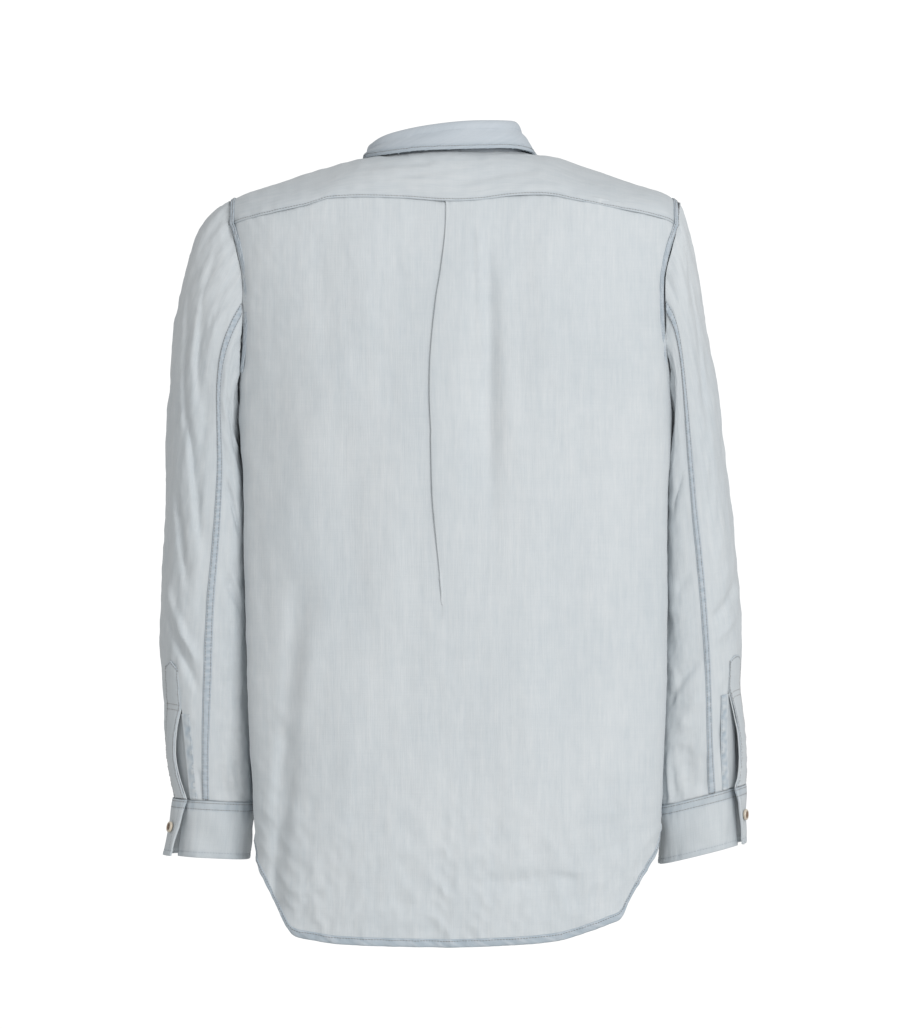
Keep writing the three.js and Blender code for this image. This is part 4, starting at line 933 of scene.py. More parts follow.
def denim(name, blue, washed, seam, streaks=0.4, clouds=0.5, twill=1.0, bump=0.35):
    material = bpy.data.materials.new(name)
    material.use_nodes = True
    tree = material.node_tree
    shader = tree.nodes["Principled BSDF"]
    grain = tree.nodes.new("ShaderNodeUVMap")
    grain.uv_map = "grain"
    weave = tree.nodes.new("ShaderNodeGroup")
    weave.node_tree = DENIM_WEAVE
    tree.links.new(grain.outputs["UV"], weave.inputs["Grain"])
    for label, value in (("Streaks", streaks), ("Clouds", clouds), ("Twill", twill)):
        weave.inputs[label].default_value = value
    tone = tree.nodes.new("ShaderNodeAttribute")
    tone.attribute_name = "tone"
    colour = mixed_colour(tree, weave.outputs["Shade"], blue, washed)
    colour = mixed_colour(tree, tone.outputs["Fac"], colour, seam)
    tree.links.new(colour, shader.inputs["Base Color"])
    rise = tree.nodes.new("ShaderNodeBump")
    rise.inputs["Distance"].default_value = 0.0005
    rise.inputs["Strength"].default_value = bump
    tree.links.new(weave.outputs["Height"], rise.inputs["Height"])
    tree.links.new(rise.outputs["Normal"], shader.inputs["Normal"])
    shader.inputs["Roughness"].default_value = 0.9
    shader.inputs["Specular IOR Level"].default_value = 0.25
    shader.inputs["Sheen Weight"].default_value = 0.12
    shader.inputs["Sheen Roughness"].default_value = 0.5
    return material


BLUE = (0.475, 0.533, 0.572)
WASHED = (0.722, 0.742, 0.752)
SEAM_BLUE = (0.41, 0.475, 0.53)
body_denim = denim("body_denim", BLUE, WASHED, SEAM_BLUE)
trim_denim = denim("trim_denim", (0.42, 0.48, 0.535), (0.62, 0.66, 0.70), SEAM_BLUE)
# The yoke's denim is the body's made a little darker: painted shade for the yoke's slope, which faces up,
# away from the light.
yoke_denim_painted_shade = denim("yoke_denim_painted_shade", (0.455, 0.512, 0.55), (0.69, 0.712, 0.725), SEAM_BLUE)
cuff_denim = denim("cuff_denim", (0.45, 0.502, 0.54), (0.67, 0.70, 0.715), SEAM_BLUE)


# %% [markdown]
# The back is one grid: the left of the panel, the folded pleat, then the right. The pleat's columns
# sit close together so that its fold is round, and the rows crowd towards the hem and the yoke.

# %% The back
YOKE_TUCK = 7
SIDE_COLUMNS = 70


def unevenness(x, z, seed, large=0.8, small=0.3):
    drape = wander(x / 75, z / 240, seed) * large
    drape = drape + wander(x / 26, z / 55, seed + 1) * small + wander(x / 11, z / 16, seed + 2) * small * 0.35
    lived_in = 0.35 + 1.2 * smooth(-600, -740, z)
    return drape + (crumpled(x / 46, z / 70, seed + 5) + 0.6 * crumpled(x / 24, z / 22, seed + 6)) * lived_in


def back_grid():
    up = bunched(200, 0.55)[:, None]
    guess = mix(hem_height("back", 0.0), top_height("back", 0.0), up)
    edge, lap, rise = pleat_at(guess)
    p = np.concatenate([np.linspace(0, 2, 8), np.linspace(2, 7.5, 30)[1:], np.linspace(7.5, 12, 22)[1:]])
    value = lambda name: read(PLEAT_SECTION, "p", name, p)
    pleat = share_at("back", edge + value("aside") + value("lap") * lap, guess)
    spread = np.linspace(0, 1, SIDE_COLUMNS, endpoint=False)
    left = mix(1, np.abs(pleat[:, :1]) ** (1 / 1.35), spread) ** 1.35
    right = -mix(1, np.abs(pleat[:, -1:]) ** (1 / 1.35), spread[::-1]) ** 1.35
    share = np.concatenate([left, pleat, right], axis=1)
    bottom, top = hem_height("back", share), top_height("back", share) + YOKE_TUCK
    points = body_point("back", share, mix(bottom, top, up), fine=True)
    points[:, SIDE_COLUMNS:-SIDE_COLUMNS, 1] += value("rise") * rise
    points[..., 1] -= 1.2 * smooth(-YOKE_TUCK, 0, points[..., 2] - top + 1)
    return points, np.repeat(edge, share.shape[1], axis=1)


points, pleat_line = back_grid()
x, z = points[..., 0], points[..., 2]
measured = edges_of(points)
relief = unevenness(x, z, 11) * (1 - 0.9 * bell(x - pleat_line, 16) * smooth(-500, -400, z))
relief = relief + wander(x / 9, z / 12, 71, 5) * 0.25 * np.exp(-measured["bottom"] / 22)
relief = relief + wander(x / 14, z / 20, 72, 5) * 0.3 * np.exp(-(measured["top"] - YOKE_TUCK) / 14)
grain = np.stack([x * MM, z * MM], axis=-1)
back = cloth("back_cloth", points, body_middle(z), relief=relief, grain=grain)
print("pleat edge at the yoke:", pleat_line[-1, 0].round(1))

# %% [markdown]
# Lines of sewing and strips of cloth are laid at a real distance from a piece's edge. This measures
# along the piece's own grid and gives the points and the normals there.

# %% Places along an edge
def at_distance(name, edge, distance):
    points, normals = surfaces[name]
    if edge in ("first", "last"):
        points, normals = points.transpose(1, 0, 2), normals.transpose(1, 0, 2)
    if edge in ("top", "last"):
        points, normals = points[::-1], normals[::-1]
    measured = arcs(points, 0)
    row = np.clip((measured < distance).sum(axis=0) - 1, 0, len(points) - 2)
    line = np.arange(points.shape[1])
    span = np.maximum(measured[row + 1, line] - measured[row, line], 1e-6)
    t = ((distance - measured[row, line]) / span)[:, None]
    place = mix(points[row, line], points[row + 1, line], t)
    return place, unit(mix(normals[row, line], normals[row + 1, line], t))


def strip_on(name, edge, distances, lift, profile):
    rows = [at_distance(name, edge, distance) for distance in distances]
    return np.stack([p + n * (lift * share) for (p, n), share in zip(rows, profile)])


# %% [markdown]
# The hem is turned up twice, about 7 mm wide. As it is sewn on a curve it ropes: the cloth twists
# into slanting ridges. It is a strip of its own round the edge, thicker than the panel.

# %% The hems
HEM_ROWS = np.array([-0.9, 0.2, 1.4, 2.8, 4.2, 5.6, 6.8, 7.6])
HEM_PROFILE = np.array([0.15, 0.8, 1.0, 1.05, 1.0, 0.75, 0.7, 0.1])


def hem(name, panel, seed, skip=0):
    points = strip_on(panel, "bottom", HEM_ROWS, 0.95, HEM_PROFILE)
    if skip:
        points = points[:, skip:-skip]
    fine = np.linspace(0, points.shape[1] - 1, points.shape[1] * 3)
    low = np.floor(fine).astype(int).clip(0, points.shape[1] - 2)
    points = mix(points[:, low], points[:, low + 1], (fine - low)[:, None])
    length, width = arcs(points, 1), HEM_ROWS[:, None]
    rope = wander((length + 1.6 * width) / 8.5, width / 20, seed, 4)
    relief = 0.42 * rope * bell(width - 3.2, 4)
    tone = np.clip(0.75 - 0.6 * rope, 0, 1)
    grain = np.stack([length, width + 0 * length], axis=-1) * MM
    middle = body_middle(points[..., 2])
    return cloth(name, points, middle, 1.7, relief, grain, tone)


hem_back = hem("hem_back_cloth", "back_cloth", 21)

# %% [markdown]
# Stitches are laid later by Geometry Nodes, all at once. Here each seam only says where its lines
# of thread run: a list of points, a little proud of the cloth.

# %% Lines of sewing
thread_lines = {"grey": [], "brown": []}


def sew(name, edge, distance, colour="grey", start=0.0, stop=1.0, lift=0.1):
    place, normal = at_distance(name, edge, distance)
    count = len(place)
    chosen = slice(int(start * (count - 1)), int(stop * (count - 1)) + 1)
    thread_lines[colour].append((place + normal * lift)[chosen])


sew("hem_back_cloth", "bottom", 6.6, "brown")
finish_cloth(back, ["back"], body_denim)
finish_cloth(hem_back, [], trim_denim)

# %% [markdown]
# The yoke is cut across the cloth and lapped over the back, with one visible line of stitches close
# to its edge. Three soft wrinkles lie below the collar.

# %% The yoke
YOKE_WRINKLES = table(
    "x0 z0 x1 z1 width depth lean",
    (95, -16, 8, -11, 4, -1.3, 0.2),
    (52, -26, -2, -21, 4, -1.2, 0.2),
    (-4, -33, -82, -18, 5, -1.4, 0.3),
    (120, -22, 160, -40, 6, -1.0, 0),
    (-110, -14, -160, -34, 6, -1.0, 0),
    (-60, -40, -120, -36, 5, 0.8, 0),
)


def yoke_grid():
    column = bunched(88, 0.4)
    forward = bunched(66, 0.5)[:, None]
    left = yoke_point("left", column, forward)
    right = yoke_point("right", column[::-1][1:], forward)
    points = np.concatenate([left, right], axis=1)
    loose = 0.5 * (smooth(0, 0.25, forward) * (1 - smooth(0.75, 1, forward)))[..., None]
    for _ in range(90):
        points[:, 1:-1] = mix(points[:, 1:-1], (points[:, :-2] + points[:, 2:]) / 2, loose)
    lift = 4 * bell(points[..., 0] + 104, 20) - 3.5 * bell(points[..., 0] - 168, 26)
    lift = lift - 2.5 * bell(points[..., 0] + 190, 22)
    points[..., 2] += lift * np.sin(math.pi * forward)
    return points


points = yoke_grid()
x, z = points[..., 0], points[..., 2]
measured = edges_of(points)
relief = sewn(measured["bottom"], x, [2.2], 31, 0.3, 8, 9) + sewn(measured["top"], x, [2.2], 32, 0.25, 8, 9)
relief = relief + unevenness(x, measured["bottom"], 33, 0.7, 0.25)
relief = relief * (1 - 0.7 * bell(measured["bottom"], 1.5))
relief = relief + creases(x, z, YOKE_WRINKLES) * (points[..., 1] > 20)
tone = seam_tone(measured["bottom"], x, [2.2], 31, 9) * 0.5
grain = np.stack([measured["bottom"], x], axis=-1) * MM
yoke = cloth("yoke_cloth", points, body_middle(z - 60), relief=relief, grain=grain, tone=tone)
sew("yoke_cloth", "bottom", 2.2, "brown")
sew("yoke_cloth", "top", 2.2, start=0, stop=0.36)
sew("yoke_cloth", "top", 2.2, start=0.64, stop=1)
finish_cloth(yoke, ["yoke"], yoke_denim_painted_shade)

# %% [markdown]
# The fronts hang from the yoke's front seam and meet under the button band. Hidden from the photo,
# they get the same kind of folds as the back: drags from the shoulders and soft hanging ones.

# %% The fronts
FRONT_CREASES = table(
    "x0 z0 x1 z1 width depth lean",
    (150, -110, 96, -260, 12, 3, 0.2),
    (-154, -108, -104, -250, 12, 3, 0.2),
    (120, -300, 132, -560, 16, -3.5, 0.2),
    (-124, -330, -138, -620, 16, -3.5, 0.2),
    (70, -420, 62, -700, 18, 2.4, 0),
    (-66, -380, -60, -690, 18, 2.4, 0),
    (168, -600, 150, -720, 10, -3, 0),
    (-172, -590, -156, -715, 10, -3, 0),
    (30, -150, 60, -260, 9, -1.6, 0),
    (-32, -160, -66, -270, 9, -1.6, 0),
    (40, -640, 90, -680, 7, -1.2, 0),
    (-50, -610, -96, -662, 7, -1.2, 0),
)


def front_grid(side):
    sign = side_sign(side)
    share = sign * mix(1, 0.0008, bunched(74, 0.4))
    up = bunched(150, 0.5)[:, None]
    tuck = YOKE_TUCK * smooth(NECK_CORNER + 0.02, NECK_CORNER + 0.08, np.abs(share))
    top = top_height("front", share) + tuck
    points = body_point("front", share, mix(hem_height("front", share), top, up))
    points[..., 1] += 1.2 * smooth(-YOKE_TUCK, 0, points[..., 2] - top + 1)
    points[..., 1] -= creases(points[..., 0], points[..., 2], FRONT_CREASES)
    return points


for side, seed in (("left", 41), ("right", 46)):
    points = front_grid(side)
    x, z = points[..., 0], points[..., 2]
    measured = edges_of(points)
    relief = wander(x / 9, z / 12, seed + 3, 5) * 0.25 * np.exp(-measured["bottom"] / 22)
    relief = unevenness(x, z, seed) + relief
    name = f"front_cloth_{side}"
    piece = cloth(name, points, body_middle(z), relief=relief, grain=np.stack([x, z], axis=-1) * MM)
    edge = hem(f"hem_front_cloth_{side}", name, seed + 4, 2)
    sew(f"hem_front_cloth_{side}", "bottom", 6.4)
    finish_cloth(piece, [f"front_{side}"], body_denim)
    finish_cloth(edge, [], trim_denim)

# %% [markdown]
# The button band is a folded strip on each front, sewn down along both edges. The buttons stand on
# the upper one, and the lower one lies under it. Buttonholes aren't modelled.

# %% The front bands
FRONT_BAND_WIDTH = 34


def front_surface(x, z):
    return body_point("front", share_at("front", x, z), z)


def band_grid(distance, low, high):
    x = mix(-FRONT_BAND_WIDTH / 2, FRONT_BAND_WIDTH / 2, bunched(22, 0.5))
    z = mix(low, high, bunched(140, 0.3))[:, None]
    x, z = np.broadcast_arrays(x, z)
    points, _ = lifted(front_surface, x, z, np.full(x.shape, distance), body_middle(z))
    return points


for name, node, distance, low in (
    ("front_band_cloth", "front_band_over", 2.6, -768),
    ("front_band_under_cloth", "front_band_under", -1.3, -716),
):
    points = band_grid(distance, low, -77)
    measured = edges_of(points)
    length, across = measured["bottom"], measured["first"]
    relief = sewn(across, length, [3.2], 51, 0.3, 5, 8) + sewn(measured["last"], length, [3.2], 52, 0.3, 5, 8)
    relief = relief - 0.6 * (bell(across, 0.8) + bell(measured["last"], 0.8))
    tone = seam_tone(across, length, [3.2], 51, 8) + seam_tone(measured["last"], length, [3.2], 52, 8)
    piece = cloth(name, points, body_middle(points[..., 2]), DOUBLE_CLOTH, relief, tone=tone * 0.6)
    if distance > 0:
        sew(name, "first", 3.2)
        sew(name, "last", 3.2)
    finish_cloth(piece, [node], trim_denim)

# %% [markdown]
# The collar stand is a band of stiffened cloth round the neckline, with its ends lapped in front.
# The leaf folds over its top edge and comes down outside, a little rolled, with a row of stitches
# near its edge. Both are double cloth.

# %% The collar
STAND_OVERLAP = 9
FALL_FRONT_GAP = 8
COLLAR_STITCH = 3.6


def neck_middle(z):
    return point_at(0, -20, z)


turned = mix(-90 - STAND_OVERLAP, 270 + STAND_OVERLAP, np.linspace(0, 1, 260))
points = collar_stand_point(turned, bunched(18, 0.4)[:, None])
measured = edges_of(points)
relief = sewn(measured["bottom"], arcs(points, 1), [2.5], 61, 0.2, 5, 7)
relief = relief * smooth(0, 1.5, measured["bottom"])
stand = cloth("collar_stand_cloth", points, neck_middle(points[..., 2]), DOUBLE_CLOTH, relief)
finish_cloth(stand, ["collar_stand"], trim_denim)


def leaf_roll(fall):
    return 2.4 * np.sin(math.pi * np.clip(fall / 0.7, 0, 1)) ** 1.2


turned = mix(-90 + FALL_FRONT_GAP, 270 - FALL_FRONT_GAP, np.linspace(0, 1, 270))
fall = np.concatenate([mix(0, 0.7, bunched(34, 0.6)), np.linspace(0.7, 1, 20)[1:]])[:, None]
points = collar_fall_point(turned, fall)
measured = edges_of(points)
length = arcs(points, 1)
edge = measured["bottom"]
relief = leaf_roll(fall) + sewn(edge, length, [COLLAR_STITCH], 63, 0.26, 6, 8) + 0.3 * bell(edge - 1.8, 1.6)
relief = relief + wander(length / 60, edge / 30, 64) * 0.5 * smooth(0, 14, edge) * (fall < 0.7)
tone = seam_tone(edge, length, [COLLAR_STITCH], 63, 8) * 0.9
grain = np.stack([length, edge], axis=-1) * MM
inside = neck_middle(-20 + 0 * points[..., 2])
collar = cloth("collar_cloth", points, inside, DOUBLE_CLOTH, relief, grain, tone)
sew("collar_cloth", "bottom", COLLAR_STITCH, "brown")
finish_cloth(collar, ["collar_fall"], trim_denim)

# %% [markdown]
# Each sleeve has an upper part, which carries the slit, and an under part beside the body. They
# meet in a felled seam behind. The cloth is calm along seams and loose between them, and it is
# eased into the cuff, so short folds run up from there.

# %% The sleeves
SLEEVE_SEAM_GAP = 0.35
SLIT_ROWS = 44
SLIT_COLUMNS = 22
ARM_COLUMNS = 92
SLEEVE_ROWS = 176


def sleeve_rings(side, count):
    top = OPENINGS[side]["top"]
    below = mix(LAST_RING, top, np.linspace(0, 1, SLIT_ROWS))
    above = mix(top, 0, bunched(count - SLIT_ROWS + 1, 0.2))[1:]
    return np.concatenate([below, above])[:, None]


def seam_gap_angle(side, ring):
    return angle_of(side, ring, SLEEVE_SEAM_GAP)


def sleeve_middle(side, ring, angle):
    return (sleeve_point(side, ring, angle) + sleeve_point(side, ring, angle + 180)) / 2


def sleeve_relief(measured, seed):
    along, across = measured["bottom"], measured["first"]
    calm = 1 - 0.9 * bell(measured["first"], 9) - 0.6 * bell(measured["last"], 9)
    gathers = wander(across / 13, along / 60, seed + 5, 6) * 1.1 * np.exp(-along / 26)
    drape = wander(across / 46, along / 150, seed) * 1.1 + wander(across / 20, along / 42, seed + 1) * 0.5
    small = wander(across / 9, along / 13, seed + 2) * 0.13
    small = small + crumpled(across / 30, along / 44, seed + 7) * 0.7
    small = small + crumpled(across / 17, along / 19, seed + 8) * 0.3
    top = wander(across / 16, along / 16, seed + 3, 6) * 0.35 * np.exp(-measured["top"] / 16)
    return (drape + small + top) * calm * smooth(0, 12, along) + gathers * smooth(0, 3, along) * calm


def upper_sleeve(side, seed):
    opening = OPENINGS[side]
    ring = sleeve_rings(side, SLEEVE_ROWS)
    seam = seam_angle(side, ring) - seam_gap_angle(side, ring)
    far = UNDERARM_ANGLE - 360 + seam_gap_angle(side, ring)
    behind = mix(seam, opening["angle"] + 0.01, np.linspace(0, 1, SLIT_COLUMNS) ** 0.8)
    around = mix(opening["angle"], far, np.linspace(0, 1, ARM_COLUMNS) ** 1.1)
    points = np.concatenate([sleeve_point(side, ring, behind), open_sleeve_point(side, ring, around)], axis=1)
    middle = sleeve_middle(side, ring, np.concatenate([behind, around], axis=1))
    measured = edges_of(points)
    gap = SLIT_COLUMNS - 1
    to_slit = np.abs(measured["first"] - measured["first"][:, gap:gap + 1])
    relief = sleeve_relief(measured, seed) * (1 - 0.9 * bell(to_slit, 8) * smooth(9, 10, ring))
    relief[:, gap + 1] = relief[:, gap]
    joined = (ring <= opening["top"] + 1e-6).ravel()
    return cloth(f"sleeve_upper_cloth_{side}", points, middle, relief=relief, gap=gap, joined=joined)


def under_sleeve(side, seed):
    ring = sleeve_rings(side, SLEEVE_ROWS)
    gap = seam_gap_angle(side, ring)
    angle = mix(seam_angle(side, ring) + gap, UNDERARM_ANGLE - gap, np.linspace(0, 1, 44))
    points = sleeve_point(side, ring, angle)
    measured = edges_of(points)
    middle = sleeve_middle(side, ring, angle)
    return cloth(f"sleeve_under_cloth_{side}", points, middle, relief=sleeve_relief(measured, seed))


for side, seed in (("left", 81), ("right", 91)):
    upper, under = upper_sleeve(side, seed), under_sleeve(side, seed + 6)
    finish_cloth(upper, [f"sleeve_upper_{side}"], body_denim)
    finish_cloth(under, [f"sleeve_under_{side}"], body_denim)

# %% [markdown]
# A cuff is two layers of cloth with a stiffener, about 57 mm tall. Two rows of stitches hold it to
# the sleeve and one runs round its other edges. Washing has left the edges puckered.

# %% The cuffs
CUFF_TOP_STITCHES = (2.2, 8.6)
CUFF_EDGE_STITCH = 5.5


def cuff(side, seed):
    share = np.linspace(0, 1, 210)
    down = 1 - bunched(34, 0.5)[:, None]
    points = cuff_point(side, share, down)
    measured = edges_of(points)
    length = measured["first"]
    top, bottom = measured["top"], measured["bottom"]
    relief = sewn(top, length, CUFF_TOP_STITCHES, seed, 0.4, 6, 7)
    relief = relief + sewn(bottom, length, [CUFF_EDGE_STITCH], seed + 1, 0.3, 6, 8)
    relief = relief + 0.4 * bell(bottom - 2.5, 2.6) + wander(length / 40, top / 40, seed + 2) * 0.8
    tone = 0.8 * seam_tone(top, length, CUFF_TOP_STITCHES, seed, 7)
    tone = tone + 0.35 * seam_tone(bottom, length, [CUFF_EDGE_STITCH], seed + 1, 8)
    middle = sleeve_middle(side, LAST_RING, lap_angle(side, share))
    middle = middle + (points - points[-1:]) * [0, 0, 1]
    grain = np.stack([length, bottom], axis=-1) * MM
    piece = cloth(f"cuff_cloth_{side}", points, middle, DOUBLE_CLOTH, relief, grain, np.clip(tone, 0, 1))
    for place in CUFF_TOP_STITCHES:
        sew(piece.name, "top", place, "brown")
    sew(piece.name, "bottom", CUFF_EDGE_STITCH, "grey")
    sew(piece.name, "last", CUFF_EDGE_STITCH, "grey")
    return piece


for side, seed in (("left", 101), ("right", 105)):
    finish_cloth(cuff(side, seed), [f"cuff_{side}"], cuff_denim)

# %% [markdown]
# A tower placket is a folded strip over the slit's outer edge. It stands above the slit as a box
# closed by cross rows of stitches, with a pointed top on the left sleeve. The right one has worn
# round. The other edge of the slit has a binding, drawn into puckers by its sewing, and its cloth
# runs on under the tower, so that it is what shows through the open slit.

# %% The plackets
TOWER_ANGLE = 27
TOWER_TOP_RING = 9.15
TOWER_POINT = 8
BINDING_ANGLE = 12
UNDERLAP_ANGLE = 24
STRIP_REST = 1.0
PLACKET_STITCH = 2.0
BOX_STITCHES = (92, 97.5)


def tower(side, seed):
    opening = OPENINGS[side]
    across = bunched(26, 0.4)
    peak = 1 - np.abs(2 * across - 1)
    if side == "right":
        peak = np.sqrt(1 - (2 * across - 1) ** 2) * 0.9
    top = TOWER_TOP_RING - (peak - 1) * (TOWER_POINT / RING_LENGTH)
    ring = mix(LAST_RING - 0.02, top, bunched(130, 0.3)[:, None])
    angle = opening["angle"] - 1.2 - TOWER_ANGLE * across
    points = open_sleeve_point(side, ring, angle)
    middle = sleeve_middle(side, ring, angle)
    points = points + unit(points - middle) * (STRIP_REST + 0.9)
    measured = edges_of(points)
    length, first, last, head = measured["bottom"], measured["first"], measured["last"], measured["top"]
    at = [PLACKET_STITCH]
    relief = sewn(first, length, at, seed, 0.35, 4, 6) + sewn(last, length, at, seed + 1, 0.35, 4, 6)
    relief = relief - 0.6 * (bell(first, 0.8) + bell(last, 0.8) + bell(head, 0.8))
    relief = relief - 0.25 * bell(head - PLACKET_STITCH, 1)
    tone = 0.5 * (seam_tone(first, length, at, seed, 6) + seam_tone(last, length, at, seed + 1, 6))
    tone = np.clip(tone + 0.4 * (1 - smooth(2, 4, head)), 0, 1)
    piece = cloth(f"tower_cloth_{side}", points, middle, 1.4, relief, tone=tone)
    for edge in ("first", "last"):
        sew(piece.name, edge, PLACKET_STITCH, "brown")
    sew(piece.name, "top", PLACKET_STITCH, "brown", 0.08, 0.92)
    for place in BOX_STITCHES:
        sew(piece.name, "bottom", place, "brown", 0.08, 0.92)
    return piece


def binding(side, seed):
    opening = OPENINGS[side]
    ring = mix(LAST_RING - 0.02, opening["top"] + 0.12, np.linspace(0, 1, 90)[:, None])
    across = np.linspace(0, 1, 28)
    angle = opening["angle"] + mix(BINDING_ANGLE, -UNDERLAP_ANGLE, across)
    points = sleeve_point(side, ring, angle)
    middle = sleeve_middle(side, ring, angle)
    beyond = smooth(0, 3.5, opening["angle"] - angle)
    points = points + unit(points - middle) * mix(STRIP_REST + 0.2, -2.4, beyond)[..., None]
    measured = edges_of(points)
    length = measured["bottom"]
    pucker = wander(length / 6.5, measured["first"] / 12, seed, 4)
    relief = 0.5 * pucker * bell(measured["first"] - 4, 4.5) - 0.5 * bell(measured["first"], 0.8)
    tone = np.clip(0.5 - 0.5 * pucker, 0, 1) * (1 - smooth(6, 9, measured["first"]))
    piece = cloth(f"binding_cloth_{side}", points, middle, 1.3, relief, tone=tone)
    sew(piece.name, "first", 1.6)
    return piece


for side, seed in (("left", 111), ("right", 121)):
    finish_cloth(tower(side, seed), [f"placket_tower_{side}"], cuff_denim)
    finish_cloth(binding(side, seed + 4), [f"placket_binding_{side}"], cuff_denim)

# %% [markdown]
# Felled seams show as narrow raised strips, sewn along both sides. Each strip follows the seam's
# own path and stands on the cloth beside it: round the armholes, down the sleeves and up the sides.

# %% The felled seams
ARMHOLE_REACH = 122
YOKE_STRETCH = (0.27, 0.73)
FELLED_STITCH = 1.5
FELLED = {"armhole": 9, "sleeve": 7, "side": 8}


def felled(name, surface, along, across, inside, seed, rest, pitch=6.5, loft=0.35):
    points, _ = lifted(surface, across, along, np.full(np.broadcast(across, along).shape, rest), inside)
    measured = edges_of(points)
    length, first, last = measured["bottom"], measured["first"], measured["last"]
    width = first + last
    pucker = wander(length / pitch, first / 14, seed, 4)
    crown = np.sin(math.pi * np.clip(first / width, 0, 1))
    relief = loft * pucker * crown + 0.3 * np.sqrt(np.maximum(crown, 0))
    relief = relief - 0.3 * (bell(first - FELLED_STITCH, 0.8) + bell(last - FELLED_STITCH, 0.8))
    relief = relief - 0.5 * (bell(first, 0.6) + bell(last, 0.6))
    tone = np.clip(0.5 - 0.45 * pucker, 0, 1)
    return cloth(name, points, inside, 0.8, relief, tone=tone)


def armhole_seam(side, seed):
    angle = np.linspace(-ARMHOLE_REACH, ARMHOLE_REACH, 300)[:, None]
    inset = 1 + FELLED["armhole"] * bunched(14, 0.3)

    def surface(inset, angle):
        inset, angle = np.broadcast_arrays(inset, angle)
        z = read(LOOP_HEIGHTS, "angle", "z", np.abs(angle))
        share = side_sign(side) * (1 - inset / ARMHOLE_SPAN)
        body = np.where((angle < 0)[..., None], body_point("front", share, z), body_point("back", share, z))
        forward = np.clip((YOKE_LOOP_ANGLE - angle) / (2 * YOKE_LOOP_ANGLE), 0, 1)
        over = yoke_point(side, np.maximum(0, inset) / YOKE_SPAN, forward)
        return np.where((np.abs(angle) >= YOKE_LOOP_ANGLE)[..., None], body, over)

    corner = 1.4 * bell(np.abs(angle) - YOKE_LOOP_ANGLE - 3, 9)
    inside = body_middle(armhole_point(side, angle)[..., 2] - 60)
    rest = STRIP_REST + corner + 0 * inset
    return felled(f"armhole_cloth_{side}", surface, angle, inset, inside, seed, rest)


def sleeve_seam(side, seed):
    ring = mix(LAST_RING - 0.03, 0.35, np.linspace(0, 1, 360)[:, None])
    half = angle_of(side, ring, FELLED["sleeve"] / 2)
    angle = seam_angle(side, ring) + half * (1 - 2 * bunched(14, 0.3))
    surface = lambda turn, place: sleeve_point(side, place / RING_LENGTH, turn)
    inside = sleeve_point(side, ring, angle + 180)
    return felled(f"sleeve_seam_cloth_{side}", surface, ring * RING_LENGTH, angle, inside, seed, STRIP_REST)


def side_seam(side, seed):
    z = mix(HEM_FRONT["z"][-1] + 1, UNDERARM_Z - 6, np.linspace(0, 1, 220)[:, None])
    inset = 1 + FELLED["side"] * (1 - bunched(14, 0.3))
    surface = lambda inset, z: body_point("back", side_sign(side) * (1 - inset / SIDE_SPAN), z)
    return felled(f"side_seam_cloth_{side}", surface, z, inset, body_middle(z), seed, STRIP_REST)


for side, seed in (("left", 131), ("right", 141)):
    for piece, node in (
        (armhole_seam(side, seed), "armhole_seam"),
        (sleeve_seam(side, seed + 2), "sleeve_seam"),
        (side_seam(side, seed + 4), "side_seam"),
    ):
        colour = "brown" if node == "sleeve_seam" else "grey"
        for edge in ("first", "last"):
            sew(piece.name, edge, FELLED_STITCH, colour)
            if node == "armhole_seam":
                sew(piece.name, edge, FELLED_STITCH, "brown", *YOKE_STRETCH)
        finish_cloth(piece, [f"{node}_{side}"], trim_denim)

# %% [markdown]
# Before it is sewn, each piece is cut flat. The table gives the flat width and length of each, in
# metres, and its area where it isn't a rectangle. The hems, felled strips and plackets belong to
# the panel that they are sewn to.

# %% The flat cut of each piece
CUTS = [
    ("back_cloth", (0.62, 0.78), 0.455, "hung", ["hem_back_cloth"]),
    ("yoke_cloth", (0.48, 0.24), 0.075, "draped", []),
    ("front_band_cloth", (0.034, 0.69), None, "hung", []),
    ("front_band_under_cloth", (0.034, 0.64), None, "hung", []),
    ("collar_stand_cloth", (0.56, 0.03), None, "draped", []),
    ("collar_cloth", (0.6, 0.062), None, "folded", []),
]
for side in ("left", "right"):
    sewn_on = [f"{name}_cloth_{side}" for name in ("armhole", "sleeve_seam", "tower", "binding")]
    front_pieces = [f"hem_front_cloth_{side}", f"side_seam_cloth_{side}"]
    CUTS += [
        (f"front_cloth_{side}", (0.31, 0.75), 0.2, "hung", front_pieces),
        (f"sleeve_upper_cloth_{side}", (0.34, 0.62), 0.155, "hung", sewn_on),
        (f"sleeve_under_cloth_{side}", (0.13, 0.5), 0.045, "hung", []),
        (f"cuff_cloth_{side}", (0.275, 0.06), None, "hung", []),
    ]
print("sheets:", len(CUTS))

# %% [markdown]
# There are thousands of stitches, all alike, so Geometry Nodes lays them. The lines of sewing
# become curves, a point is set on each at every stitch, and a small rounded length of thread is
# placed there along the line. The result is turned into a plain mesh and the modifier removed.

